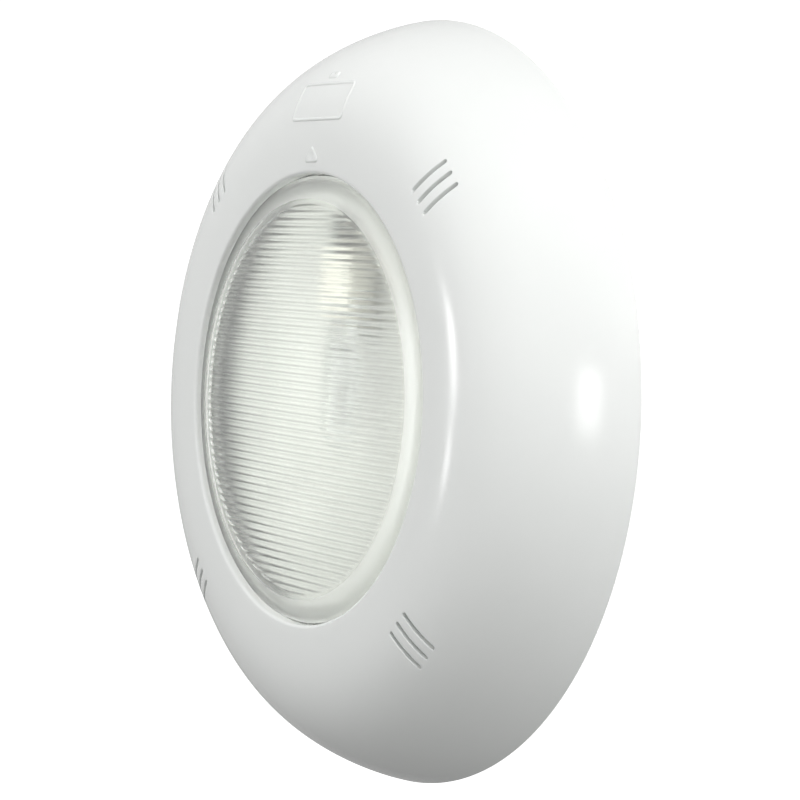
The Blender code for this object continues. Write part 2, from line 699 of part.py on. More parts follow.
def make_strap():
    """The bent strap behind the holder, and the screw through its foot."""
    high = LAMP_HEIGHT - HOLDER_DEPTH / 2 - GAP
    low = STRAP_BOSS_TOP + GAP + STRAP_THICKNESS
    upper = [(STRAP_START, high), (STRAP_BEND_START, high), (STRAP_BEND_END, low), (STRAP_END, low)]
    lower = [(along, height - STRAP_THICKNESS) for along, height in reversed(upper)]
    turn = (90, 0, 90)
    strap = plate("holder_strap", upper + lower, STRAP_WIDTH, STAINLESS, head_axis, turn=turn)
    trim_length = 2 * (STRAP_END - STRAP_BEND_END)
    trim_width = STRAP_WIDTH - STRAP_FOOT_WIDTH
    for side in (-1, 1):
        place = (side * HOLDER_SCREW_OFFSET, HOLDER_SCREW_LEVEL, high)
        boolean(strap, drum("strap_hole", HOLDER_SCREW_HOLE, 0.01, head_axis, place, steps=12), "DIFFERENCE")
        place = (side * STRAP_WIDTH / 2, STRAP_BEND_END + trim_length / 2, low)
        trim = block("strap_trim", (trim_width, trim_length, 0.01), STAINLESS, head_axis, place)
        boolean(strap, trim, "DIFFERENCE")
    place = (0, STRAP_SCREW_LEVEL, low)
    boolean(strap, drum("foot_hole", STRAP_SCREW_HOLE, 0.01, head_axis, place, steps=12), "DIFFERENCE")
    place = (0, STRAP_SCREW_LEVEL, low + GAP)
    pan_screw("strap_screw", 0.0028, 0.0016, 0.0014, 0.0050, head_axis, place)


# ------------------------------------------------------- leads and terminals

def terminal_point(across, along, height):
    """A point in the terminal block: outwards, round the channel towards the lamp, and up."""
    centre = polar(LEAD_CENTRE_RADIUS + across, TERMINAL_ANGLE, height)
    return centre + polar(along, TERMINAL_ANGLE + 90)


def make_leads():
    """Two leads from the holder, down into the channel and round it to the terminal block."""
    for side, name in ((1, "right"), (-1, "left")):
        across = -side * LEAD_PITCH / 2
        radius = LEAD_CENTRE_RADIUS + across
        stations = [
            Vector((side * PIN_SPACING / 2, 0.0405, LAMP_HEIGHT)),
            Vector((side * PIN_SPACING / 2, 0.0475, LAMP_HEIGHT)),
            Vector((side * 0.0052, 0.0510, 0.0240)),
            Vector((side * 0.0074, 0.0555, 0.0205)),
            Vector((side * 0.0080, 0.0605, 0.0172)),
        ]
        first = 80 if side > 0 else 93
        stations.append(polar(radius - 0.0012, first, 0.0155))
        stations.append(polar(radius, first - 7, 0.0124))
        arc_start = first - 14
        arc_end = TERMINAL_ANGLE + 14
        for i in range(LEAD_ARC_STATIONS + 1):
            share = i / LEAD_ARC_STATIONS
            stations.append(polar(radius, arc_start + (arc_end - arc_start) * share, LEAD_HEIGHT))
        stations.append(terminal_point(across, TERMINAL_LENGTH / 2 + 0.001, LEAD_HEIGHT))
        stations.append(terminal_point(across, TERMINAL_LENGTH / 2 - 0.006, LEAD_HEIGHT))
        route = smooth_route(stations, LEAD_POINT_SPACING)
        wire(f"lead_{name}", route, LEAD_RADIUS, LEAD_SLEEVE, head_axis, sides=1)


def make_terminal_block():
    """A two-way block in the channel, with a screw over each end of each bore."""
    body_foot = HOUSING_FOOT + HOUSING_WALL + GAP
    size = (TERMINAL_WIDTH, TERMINAL_LENGTH, TERMINAL_TOP - body_foot)
    place = terminal_point(0, 0, (TERMINAL_TOP + body_foot) / 2)
    body = block("terminal_block", size, BLACK_NYLON, head_axis, place, (0, 0, TERMINAL_ANGLE))
    round_edges(body, 0.0005)
    number = 0
    for side in (-1, 1):
        across = side * LEAD_PITCH / 2
        bore_place = terminal_point(across, 0, LEAD_HEIGHT)
        turn = (90, 0, TERMINAL_ANGLE)
        bore = drum("terminal_bore", TERMINAL_BORE, 0.03, head_axis, bore_place, turn, steps=12)
        boolean(body, bore, "DIFFERENCE")
        for along in (-TERMINAL_SCREW_OFFSET, TERMINAL_SCREW_OFFSET):
            number += 1
            well = terminal_point(across, along, TERMINAL_TOP)
            boolean(body, drum("screw_well", TERMINAL_WELL, 0.010, head_axis, well, steps=12), "DIFFERENCE")
            top = -0.0002
            foot = top - TERMINAL_SCREW_LENGTH
            outline = [(0, top), (TERMINAL_SCREW_RADIUS, top), (TERMINAL_SCREW_RADIUS, foot), (0, foot)]
            turned(f"terminal_screw_{number}", outline, NICKEL_BRASS, head_axis, steps=12, place=well)


# -------------------------------------------------------------------- gland

def make_gland():
    """The cable gland. Its own z axis points down, away from the light's centre."""
    gland_axis = axis_empty("gland_axis", head_axis, (0, 0, GLAND_HEIGHT), (90, 0, 0))
    washer_start = GLAND_FACE + GAP
    collar_start = washer_start + WASHER_THICKNESS + GAP
    collar_end = collar_start + COLLAR_LENGTH
    outline = [
        (SEAL_RADIUS + GAP, GLAND_MOUTH),
        (CAP_THREAD, GLAND_MOUTH),
        (CAP_THREAD, collar_end - 0.001),
        (GLAND_THREAD, collar_end - 0.001),
        (GLAND_THREAD, GLAND_INNER_END),
        (GLAND_BORE, GLAND_INNER_END),
        (GLAND_BORE, GLAND_SEAL_SEAT),
        (SEAL_RADIUS + GAP, GLAND_SEAL_SEAT),
    ]
    body = turned("gland_body", outline, BLACK_NYLON, gland_axis, steps=24)
    place = (0, 0, (collar_start + collar_end) / 2)
    spanner = hexagon(GLAND_SPANNER)
    collar = plate("collar", spanner, COLLAR_LENGTH, BLACK_NYLON, gland_axis, place)
    hollow = drum("collar_hollow", GLAND_THREAD - 0.001, 0.02, gland_axis, place, steps=24)
    boolean(collar, hollow, "DIFFERENCE")
    boolean(body, collar, "UNION")
    inner = GLAND_THREAD + GAP
    sleeve("gland_washer", inner, WASHER_RADIUS, washer_start, washer_start + WASHER_THICKNESS, gland_axis)
    place = (0, 0, LOCKNUT_MIDDLE)
    locknut = plate("gland_locknut", hexagon(LOCKNUT_SPANNER), LOCKNUT_LENGTH, BLACK_NYLON, gland_axis, place)
    boolean(locknut, drum("locknut_bore", inner, 0.02, gland_axis, place, steps=24), "DIFFERENCE")
    seal_start = GLAND_SEAL_SEAT + 0.0005
    sleeve("gland_seal", CABLE_BORE, SEAL_RADIUS, seal_start, GLAND_MOUTH + 0.0005, gland_axis)
    cap_start = collar_end + GAP
    place = (0, 0, (cap_start + GLAND_CAP_END) / 2)
    cap = plate("gland_nut", spanner, GLAND_CAP_END - cap_start, BLACK_NYLON, gland_axis, place)
    hollow_start = cap_start - 0.001
    hollow_end = GLAND_MOUTH + 0.0008
    place = (0, 0, (hollow_start + hollow_end) / 2)
    hollow = drum("cap_hollow", CAP_THREAD + GAP, hollow_end - hollow_start, gland_axis, place, steps=24)
    boolean(cap, hollow, "DIFFERENCE")
    mouth = drum("cap_mouth", GLAND_BORE, 0.02, gland_axis, (0, 0, GLAND_CAP_END), steps=24)
    boolean(cap, mouth, "DIFFERENCE")


def sleeve(name, inner, outer, start, end, parent):
    """A short rubber tube along its parent's z axis."""
    outline = [(inner, end), (outer, end), (outer, start), (inner, start)]
    return turned(name, outline, SILICONE, parent, steps=24)


# ------------------------------------------------------------- wall bracket

def make_bracket():
    """The plate on the wall, with a raised ring, three bayonet tabs with stops, and three screw holes."""
    outline = [
        (0, BRACKET_PLATE),
        (BAYONET_RING_INNER, BRACKET_PLATE),
        (BAYONET_RING_INNER, BAYONET_TOP),
        (BAYONET_RING_OUTER, BAYONET_TOP),
        (BAYONET_RING_OUTER, BRACKET_PLATE),
        (BRACKET_RADIUS, BRACKET_PLATE),
        (BRACKET_RADIUS, 0),
        (0, 0),
    ]
    bracket = turned("wall_bracket", outline, BRACKET_PLASTIC, wall_axis, steps=FINE_STEPS)
    root = BAYONET_RING_OUTER - 0.001
    for angle in BAYONET_ANGLES:
        start = angle - BAYONET_HALF_ANGLE - STOP_ANGLE - 0.6
        end = angle + BAYONET_HALF_ANGLE
        tab_top = BAYONET_TOP - 0.0002
        height = tab_top - TAB_FOOT
        place = (0, 0, (tab_top + TAB_FOOT) / 2)
        outline = sector(root, TAB_RADIUS, start, end)
        tab = plate("tab", outline, height, BRACKET_PLASTIC, wall_axis, place)
        boolean(bracket, tab, "UNION")
        stop_foot = BRACKET_PLATE - 0.001
        stop_top = TAB_FOOT + 0.001
        place = (0, 0, (stop_foot + stop_top) / 2)
        outline = sector(root + 0.0002, TAB_RADIUS - 0.0005, start + 0.3, start + STOP_ANGLE, steps=1)
        stop = plate("stop", outline, stop_top - stop_foot, BRACKET_PLASTIC, wall_axis, place=place)
        boolean(bracket, stop, "UNION")
    for angle in WALL_SCREW_ANGLES:
        place = polar(WALL_SCREW_RADIUS, angle)
        boolean(bracket, drum("wall_screw_hole", WALL_SCREW_HOLE, 0.02, wall_axis, place), "DIFFERENCE")
    return bracket


make_bracket()
make_housing()
make_reflector()
make_bulb()
make_lamp_holder()
make_leads()
make_terminal_block()
make_gland()
make_lens()
make_clamp()
make_bezel()
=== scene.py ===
import math

import bmesh
import bpy
import numpy as np
from mathutils import Matrix, Vector
from mathutils.geometry import delaunay_2d_cdt


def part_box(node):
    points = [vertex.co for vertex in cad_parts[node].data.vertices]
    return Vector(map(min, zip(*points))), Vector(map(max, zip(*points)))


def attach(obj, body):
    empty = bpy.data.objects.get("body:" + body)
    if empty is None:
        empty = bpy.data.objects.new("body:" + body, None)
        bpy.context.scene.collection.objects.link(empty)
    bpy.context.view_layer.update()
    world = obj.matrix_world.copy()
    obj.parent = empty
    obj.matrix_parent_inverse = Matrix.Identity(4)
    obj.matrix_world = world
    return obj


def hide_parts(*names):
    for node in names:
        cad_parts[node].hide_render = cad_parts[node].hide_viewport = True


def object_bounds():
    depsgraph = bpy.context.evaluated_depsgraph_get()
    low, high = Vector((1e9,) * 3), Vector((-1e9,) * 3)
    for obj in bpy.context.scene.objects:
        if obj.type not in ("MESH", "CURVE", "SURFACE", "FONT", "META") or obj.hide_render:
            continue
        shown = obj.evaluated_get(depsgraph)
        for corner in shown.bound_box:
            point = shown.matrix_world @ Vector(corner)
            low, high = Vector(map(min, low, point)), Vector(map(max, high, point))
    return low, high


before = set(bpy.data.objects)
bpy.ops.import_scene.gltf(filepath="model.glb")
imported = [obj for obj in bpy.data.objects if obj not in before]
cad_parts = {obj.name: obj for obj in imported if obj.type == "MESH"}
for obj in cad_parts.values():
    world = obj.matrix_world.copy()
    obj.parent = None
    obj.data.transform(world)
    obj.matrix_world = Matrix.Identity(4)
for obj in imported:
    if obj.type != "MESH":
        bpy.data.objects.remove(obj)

cad_low, cad_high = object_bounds()
scene = bpy.context.scene


# ======================== camera, floor and lights
# A product shot: the light hangs level with the camera, which looks at it from its front right.
# The floor is plain and pale, well below the light, and soft boxes stand all round it.
rim_radius = cad_high.x
camera_azimuth = math.radians(57.82)
camera_elevation = math.radians(2.91)
camera_roll = math.radians(2.85)
camera_distance = 6.631 * rim_radius
camera_offset = (-0.028 * rim_radius, 0.003 * rim_radius)

back = Vector((
    math.sin(camera_azimuth) * math.cos(camera_elevation),
    -math.cos(camera_azimuth) * math.cos(camera_elevation),
    math.sin(camera_elevation),
))
level = Vector((math.cos(camera_azimuth), math.sin(camera_azimuth), 0))
upright = back.cross(level)
across = level * math.cos(camera_roll) + upright * math.sin(camera_roll)
above = upright * math.cos(camera_roll) - level * math.sin(camera_roll)
camera_data = bpy.data.cameras.new("camera")
camera_data.lens = 112.95
camera_data.sensor_width = 36
camera = bpy.data.objects.new("camera", camera_data)
place = back * camera_distance + across * camera_offset[0] + above * camera_offset[1]
camera.matrix_world = Matrix.Translation(place) @ Matrix((across, above, back)).transposed().to_4x4()
scene.collection.objects.link(camera)
scene.camera = camera
scene.view_settings.view_transform = "Standard"


def wired(tree, kind, inputs=None, **settings):
    """A new node of a tree. Each input given is set to a value, or linked where it is a socket."""
    node = tree.nodes.new(kind)
    for label, value in settings.items():
        setattr(node, label, value)
    for label, value in (inputs or {}).items():
        if isinstance(value, bpy.types.NodeSocket):
            tree.links.new(value, node.inputs[label])
        else:
            node.inputs[label].default_value = value
    return node


def new_finish(name, values):
    """A new material's tree and its Principled shader, with the values given set on the shader."""
    material = bpy.data.materials.new(name)
    material.use_nodes = True
    shader = material.node_tree.nodes["Principled BSDF"]
    for label, value in values.items():
        shader.inputs[label].default_value = value
    return material, material.node_tree, shader


floor_colour = (0.97, 0.97, 0.97, 1)
floor_paint = new_finish("floor_paint", {
    "Base Color": floor_colour, "Roughness": 0.9, "Emission Color": floor_colour, "Emission Strength": 1.05,
})[0]
floor_mesh = bpy.data.meshes.new("floor")
floor_work = bmesh.new()
bmesh.ops.create_grid(floor_work, x_segments=1, y_segments=1, size=40)
floor_work.to_mesh(floor_mesh)
floor_work.free()
floor = bpy.data.objects.new("floor", floor_mesh)
floor.location.z = -6 * rim_radius
floor_mesh.materials.append(floor_paint)
floor.visible_diffuse = False
floor.visible_glossy = False
floor.visible_shadow = False
scene.collection.objects.link(floor)

world = bpy.data.worlds.new("studio")
scene.world = world
world.use_nodes = True
studio = world.node_tree
room_light = studio.nodes["Background"]
room_light.inputs["Color"].default_value = (0.94, 0.95, 0.93, 1)
room_light.inputs["Strength"].default_value = 0.17
backdrop = wired(studio, "ShaderNodeBackground", {"Color": (1, 1, 1, 1), "Strength": 1.1})
direction = wired(studio, "ShaderNodeTexCoord")
rise = wired(studio, "ShaderNodeSeparateXYZ", {"Vector": direction.outputs["Generated"]})
shade = wired(studio, "ShaderNodeMapRange", {
    "Value": rise.outputs["Z"], "From Min": -0.6, "From Max": 0.6, "To Min": 0.40, "To Max": 1.0,
})
walls = wired(studio, "ShaderNodeBackground", {"Color": shade.outputs["Result"], "Strength": 0.75})
seen = wired(studio, "ShaderNodeLightPath")
lit = wired(studio, "ShaderNodeMixShader", {
    "Fac": seen.outputs["Is Diffuse Ray"], 1: walls.outputs["Background"],
    2: room_light.outputs["Background"],
})
choose = wired(studio, "ShaderNodeMixShader", {
    "Fac": seen.outputs["Is Camera Ray"], 1: lit.outputs["Shader"], 2: backdrop.outputs["Background"],
})
studio.links.new(choose.outputs["Shader"], studio.nodes["World Output"].inputs["Surface"])
soft_box_distance = 1.8


def soft_box(name, azimuth, elevation, width, height, power, mirrored=False):
    """An area lamp that faces the light from a direction round it. Azimuth 0 is straight in front.

    A broad fill isn't mirrored, so that only the windows show in the glossy trim.
    """
    lamp = bpy.data.lights.new(name, "AREA")
    lamp.shape = "RECTANGLE"
    lamp.size = width
    lamp.size_y = height
    lamp.energy = power
    box = bpy.data.objects.new(name, lamp)
    turn, rise = math.radians(azimuth), math.radians(elevation)
    towards = Vector((math.sin(turn) * math.cos(rise), -math.cos(turn) * math.cos(rise), math.sin(rise)))
    box.location = towards * soft_box_distance
    box.rotation_mode = "QUATERNION"
    box.rotation_quaternion = towards.to_track_quat("Z", "Y")
    box.visible_glossy = mirrored
    scene.collection.objects.link(box)


soft_box("high_right_box", 60, 60, 1.0, 1.0, 13.0)
soft_box("right_box", 100, 30, 1.0, 1.0, 13.0)
soft_box("level_right_box", 100, 0, 1.0, 1.0, 5.0)
soft_box("low_back_box", 140, -30, 1.0, 1.0, 5.0)
soft_box("front_box", -20, 15, 1.0, 1.9, 12.5)
soft_box("camera_side_box", 20, 0, 1.0, 1.0, 4.5)
soft_box("left_front_box", -60, 15, 1.0, 1.6, 4.5)
soft_box("left_box", -100, -5, 1.0, 1.4, 9.0)
soft_box("window_upper_pane", -35, 2, 0.20, 0.24, 1.6, mirrored=True)
soft_box("window_lower_pane", -38, -6, 0.10, 0.12, 0.5, mirrored=True)
soft_box("side_window", 75, 4, 0.30, 0.50, 3.0, mirrored=True)


# ======================== wall bracket
# A moulded plate that is screwed to the pool wall. Three tabs on its raised ring catch the lugs
# of the housing, so the whole head pushes on and locks with a short twist.

def object_noise(tree, scale, detail):
    """Noise in the piece's own coordinates, for a material's mottling, haze or grain."""
    spot = wired(tree, "ShaderNodeTexCoord")
    noise = wired(tree, "ShaderNodeTexNoise", {
        "Vector": spot.outputs["Object"], "Scale": scale, "Detail": detail,
    })
    return noise.outputs["Fac"]


def spread(tree, source, low, high):
    """A texture's middle range, opened out to run from low to high."""
    reach = wired(tree, "ShaderNodeMapRange", {
        "Value": source, "From Min": 0.3, "From Max": 0.7, "To Min": low, "To Max": high,
    })
    return reach.outputs["Result"]


grain_scale = 1500
grain_depth = 0.0002


def base_finish(name, light, dark, rough, mottle=60, grain=0.0, **values):
    """A Principled finish whose colour and roughness drift a little, with an optional fine grain."""
    material, tree, shader = new_finish(name, values)
    mottling = spread(tree, object_noise(tree, mottle, 4.0), 0, 1)
    blend = wired(
        tree, "ShaderNodeMix", {"A": (*dark, 1), "B": (*light, 1), "Factor": mottling}, data_type="RGBA",
    )
    tree.links.new(blend.outputs["Result"], shader.inputs["Base Color"])
    haze = spread(tree, object_noise(tree, mottle * 3.3, 5.0), *rough)
    tree.links.new(haze, shader.inputs["Roughness"])
    if grain:
        tooth = object_noise(tree, grain_scale, 2.0)
        relief = wired(tree, "ShaderNodeBump", {"Strength": grain, "Distance": grain_depth, "Height": tooth})
        tree.links.new(relief.outputs["Normal"], shader.inputs["Normal"])
    return material


def mesh_of(work, name, outwards=False):
    """The mesh that a bmesh holds, with its faces turned outwards where asked."""
    if outwards:
        bmesh.ops.recalc_face_normals(work, faces=work.faces)
    mesh = bpy.data.meshes.new(name)
    work.to_mesh(mesh)
    work.free()
    return mesh


def bridge(work, one, two):
    """Faces between two closed loops of the same number of points."""
    for i in range(len(one)):
        j = (i + 1) % len(one)
        work.faces.new((one[i], one[j], two[j], two[i]))


def loft(work, rings):
    """Faces through a row of rings, with one on each end."""
    for one, two in zip(rings, rings[1:]):
        bridge(work, one, two)
    work.faces.new(rings[0])
    work.faces.new(rings[-1])


def eased(outline, radius, arc_steps=4, closed=True):
    """An outline of (radius, height) pairs with every corner rounded off."""
    count = len(outline)
    soft = []
    for i, spot in enumerate(outline):
        if not closed and i in (0, count - 1):
            soft.append(tuple(spot))
            continue
        corner = Vector(spot)
        before = Vector(outline[i - 1]) - corner
        after = Vector(outline[(i + 1) % count]) - corner
        cut = min(radius, before.length * 0.45, after.length * 0.45)
        start = corner + before.normalized() * cut
        end = corner + after.normalized() * cut
        for step in range(arc_steps + 1):
            t = step / arc_steps
            soft.append(tuple(start * (1 - t) ** 2 + corner * 2 * t * (1 - t) + end * t ** 2))
    return soft


def turned_mesh(name, outline, steps, closed=True):
    """A turned shape round the light's axis. Heights in the outline run out from the wall, along -Y."""
    work = bmesh.new()
    rings = []
    for radius, height in outline:
        if radius < 1e-9:
            rings.append([work.verts.new((0, -height, 0))])
            continue
        turn = [2 * math.pi * i / steps for i in range(steps)]
        rings.append([work.verts.new((radius * math.cos(a), -height, radius * math.sin(a))) for a in turn])
    pairs = list(zip(rings, rings[1:]))
    if closed:
        pairs.append((rings[-1], rings[0]))
    for one, two in pairs:
        for i in range(steps):
            j = (i + 1) % steps
            corners = [one[i % len(one)], one[j % len(one)], two[j % len(two)], two[i % len(two)]]
            unique = list(dict.fromkeys(corners))
            if len(unique) > 2:
                work.faces.new(unique)
    return mesh_of(work, name, outwards=True)


def sector_mesh(name, inner, outer, low, high, start, end, steps=24):
    """A stretch of a ring between two heights and two angles, in degrees."""
    work = bmesh.new()
    corners = []
    for i in range(steps + 1):
        angle = math.radians(start + (end - start) * i / steps)
        corners.append([
            work.verts.new((radius * math.cos(angle), -height, radius * math.sin(angle)))
            for radius, height in ((inner, low), (outer, low), (outer, high), (inner, high))
        ])
    loft(work, corners)
    return mesh_of(work, name, outwards=True)


def rod_mesh(name, centre, direction, radius, length, steps=48, far_radius=None):
    """A plain round bar, centred on a point and running along a direction."""
    work = bmesh.new()
    far = radius if far_radius is None else far_radius
    turn = Vector(direction).to_track_quat("Z", "Y").to_matrix().to_4x4()
    bmesh.ops.create_cone(
        work, cap_ends=True, segments=steps, radius1=radius, radius2=far, depth=length,
        matrix=Matrix.Translation(centre) @ turn,
    )
    return mesh_of(work, name)


def on_face(radius, degrees, height):
    """A point at a radius and angle on the face of the light, at a height above the wall."""
    angle = math.radians(degrees)
    return Vector((radius * math.cos(angle), -height, radius * math.sin(angle)))


def made_piece(name, mesh, material, body, slot, *nodes, edge=None, smooth=35):
    """A finished piece: shaded, given its material, and set on its body in place of its CAD nodes."""
    mesh.materials.clear()
    mesh.materials.append(material)
    mesh.shade_smooth()
    mesh.set_sharp_from_angle(angle=math.radians(smooth))
    piece = bpy.data.objects.new(name, mesh)
    scene.collection.objects.link(piece)
    if edge:
        ease = piece.modifiers.new("ease", "BEVEL")
        ease.width = edge
        ease.segments = 2
        ease.limit_method = "ANGLE"
        ease.angle_limit = math.radians(40)
        ease.use_clamp_overlap = True
        piece.data = baked_mesh(piece)
        piece.modifiers.clear()
    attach(piece, body)
    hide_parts(*nodes)
    return piece


def baked_mesh(shape):
    """The mesh that an object's modifiers make."""
    view = bpy.context.evaluated_depsgraph_get()
    return bpy.data.meshes.new_from_object(shape.evaluated_get(view))


def carved(mesh, joined=(), cut=()):
    """A mesh with others joined to it and cut from it."""
    body = bpy.data.objects.new("carving", mesh)
    scene.collection.objects.link(body)
    tools = []
    for operation, shapes in (("UNION", joined), ("DIFFERENCE", cut)):
        for shape in shapes:
            tool = bpy.data.objects.new("tool", shape)
            scene.collection.objects.link(tool)
            tools.append(tool)
            step = body.modifiers.new("carve", "BOOLEAN")
            step.operation = operation
            step.object = tool
    result = baked_mesh(body)
    for spare in [body] + tools:
        bpy.data.objects.remove(spare, do_unlink=True)
    return result


bracket_high = -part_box("wall_bracket")[0].y
bracket_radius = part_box("wall_bracket")[1].x
plate_thickness = 0.0030
ring_inner, ring_outer = 0.0500, 0.0530
bayonet_angles = (90, 210, 330)
bracket_outline = [
    (0, plate_thickness), (ring_inner, plate_thickness), (ring_inner, bracket_high),
    (ring_outer, bracket_high), (ring_outer, plate_thickness), (bracket_radius, plate_thickness),
    (bracket_radius, 0), (0, 0),
]
bracket_body = turned_mesh("bracket", eased(bracket_outline, 0.0005, closed=False), 192, closed=False)
wall_screw_circle = 0.036
wall_screw_hole = 0.0029
countersink = 0.0042
tabs, screw_holes = [], []
tab_inner, tab_outer = 0.0521, 0.0595
tab_low, tab_high = 0.0072, bracket_high - 0.0002
stop_inner, stop_outer = 0.0523, 0.0590
stop_low, stop_high = 0.0020, 0.0080
for angle in bayonet_angles:
    tabs.append(sector_mesh("tab", tab_inner, tab_outer, tab_low, tab_high, angle - 13, angle + 10))
    stop = (stop_inner, stop_outer, stop_low, stop_high, angle - 12.7, angle - 10.6)
    tabs.append(sector_mesh("stop", *stop, steps=4))
for angle in (30, 150, 270):
    screw_place = on_face(wall_screw_circle, angle, 0)
    screw_holes.append(rod_mesh("hole", screw_place, (0, 1, 0), wall_screw_hole, 0.02))
    sink = on_face(wall_screw_circle, angle, plate_thickness - 0.0004)
    screw_holes.append(rod_mesh("sink", sink, (0, -1, 0), wall_screw_hole, 0.0012, far_radius=countersink))
bracket_plastic = base_finish(
    "bracket_plastic", (0.60, 0.61, 0.60), (0.52, 0.53, 0.52), (0.42, 0.58), grain=0.25,
)
made_piece(
    "wall_bracket_moulding", carved(bracket_body, tabs, screw_holes), bracket_plastic,
    "bracket", "bracket_plastic", "wall_bracket", edge=0.0002,
)


# ======================== housing
# The sealed cup that carries everything: moulded in grey plastic, with a deep channel round a
# recess for the bracket, a seat for the gasket, a bored boss for the cable gland and screw pilots.
wall_low = 0.0040
housing_outline = [
    (0, 0.0135), (0.0645, 0.0135), (0.0645, 0.0065), (0.0745, 0.0065), (0.0745, 0.0276),
    (0.0763, 0.0276), (0.0763, 0.0290), (0.0813, 0.0290), (0.0813, 0.0334), (0.0880, 0.0334),
    (0.0880, 0.0255), (0.0770, 0.0255), (0.0770, wall_low + 0.0015), (0.0755, wall_low),
    (0.0620, wall_low), (0.0620, 0.0110), (0, 0.0110),
]
cup = turned_mesh("cup", eased(housing_outline, 0.0006, closed=False), 256, closed=False)
gland_height = 0.0160
strap_boss_height = 0.055
strap_screw_hole = 0.0017
clamp_circle = 0.0847
clamp_screw_hole = 0.0019
clamp_angles = [22.5 + 45 * i for i in range(8)]
lug_inner, lug_outer = 0.0545, 0.0630
lug_low, lug_high = 0.0043, 0.0068
lugs = []
for a in bayonet_angles:
    lugs.append(sector_mesh("lug", lug_inner, lug_outer, lug_low, lug_high, a - 10, a + 10))
lugs.append(rod_mesh("boss", (0, -gland_height, -0.0774), (0, 0, -1), 0.0112, 0.0032, 64))
lugs.append(rod_mesh("strap_boss", (0, -0.0145, strap_boss_height), (0, -1, 0), 0.0040, 0.0050))
pilots = [rod_mesh("bore", (0, -gland_height, -0.0770), (0, 0, -1), 0.0081, 0.012, 64)]
strap_place = (0, -0.0170, strap_boss_height)
pilots.append(rod_mesh("strap_pilot", strap_place, (0, 1, 0), strap_screw_hole, 0.009, 24))
for a in clamp_angles:
    pilots.append(rod_mesh("pilot", on_face(clamp_circle, a, 0.0334), (0, 1, 0), clamp_screw_hole, 0.012, 24))
housing_plastic = base_finish(
    "housing_plastic", (0.235, 0.240, 0.245), (0.195, 0.200, 0.205), (0.38, 0.55), grain=0.35,
)
made_piece(
    "housing_moulding", carved(cup, lugs, pilots), housing_plastic,
    "head", "housing_plastic", "housing",
)


# ======================== reflector
# A bowl spun from thin bright aluminium, with two shallow steps and a flat rim that rests on
# the housing's ledge. A window is punched through it for the lamp holder.
sheet_thickness = 0.0008
rim_top = 0.0287
bowl_radius = 0.0705
bowl_floor = 0.0158
steps_start = 0.052
face = [(0, bowl_floor)]
for i in range(1, 15):
    radius = steps_start * i / 14
    face.append((radius, bowl_floor + (rim_top - bowl_floor) * (radius / bowl_radius) ** 2))
face += [(0.0530, 0.0230), (0.0540, 0.0240), (0.0560, 0.0245), (0.0660, 0.0275), (0.0680, 0.0286)]
face += [(0.0760, rim_top)]
under = [(radius, height - sheet_thickness) for radius, height in reversed(face)]
bowl = turned_mesh("bowl", face + under, 240, closed=False)
window_work = bmesh.new()
bmesh.ops.create_cube(window_work, size=1.0)
bmesh.ops.scale(window_work, vec=(0.024, 0.05, 0.034), verts=window_work.verts)
upright_edges = [e for e in window_work.edges if abs(e.verts[0].co.y - e.verts[1].co.y) > 0.01]
bmesh.ops.bevel(window_work, geom=upright_edges, offset=0.003, segments=6, affect="EDGES")
bmesh.ops.translate(window_work, vec=(0, -0.02, 0.044), verts=window_work.verts)
window = mesh_of(window_work, "window")
bright_aluminium = base_finish(
    "bright_aluminium", (0.60, 0.60, 0.59), (0.55, 0.555, 0.545), (0.52, 0.62), mottle=25, Metallic=1.0,
)
made_piece(
    "reflector_bowl", carved(bowl, cut=[window]), bright_aluminium,
    "head", "bright_aluminium", "reflector", smooth=50,
)


# ======================== gasket and clamp ring
# A flat silicone gasket seals the lens flange to the housing. A pressed stainless ring clamps the
# flange, pulled down by eight cross-head screws into the housing's rim.
gasket_low, gasket_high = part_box("lens_gasket")
silicone = base_finish("silicone", (0.060, 0.062, 0.066), (0.045, 0.046, 0.050), (0.55, 0.75), grain=0.2)
gasket_inner = 0.0715
gasket_outline = [
    (gasket_inner, -gasket_low.y), (gasket_high.x, -gasket_low.y),
    (gasket_high.x, -gasket_high.y), (gasket_inner, -gasket_high.y),
]
made_piece(
    "gasket_ring", turned_mesh("gasket", eased(gasket_outline, 0.0005), 200), silicone,
    "head", "silicone", "lens_gasket",
)

stainless = base_finish(
    "stainless", (0.66, 0.66, 0.65), (0.56, 0.56, 0.55), (0.18, 0.34), mottle=90, Metallic=1.0,
)
clamp_low, clamp_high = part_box("clamp_ring")
clamp_inner = 0.0730
clamp_outline = [
    (clamp_inner, -clamp_low.y), (clamp_high.x, -clamp_low.y),
    (clamp_high.x, -clamp_high.y), (clamp_inner, -clamp_high.y),
]
clamp_body = turned_mesh("clamp", eased(clamp_outline, 0.0006), 256)
clamp_holes = []
for a in clamp_angles:
    hole_place = on_face(clamp_circle, a, 0.035)
    clamp_holes.append(rod_mesh("hole", hole_place, (0, 1, 0), clamp_screw_hole, 0.01, 24))
made_piece(
    "clamp_ring_pressing", carved(clamp_body, cut=clamp_holes), stainless,
    "head", "stainless", "clamp_ring",
)


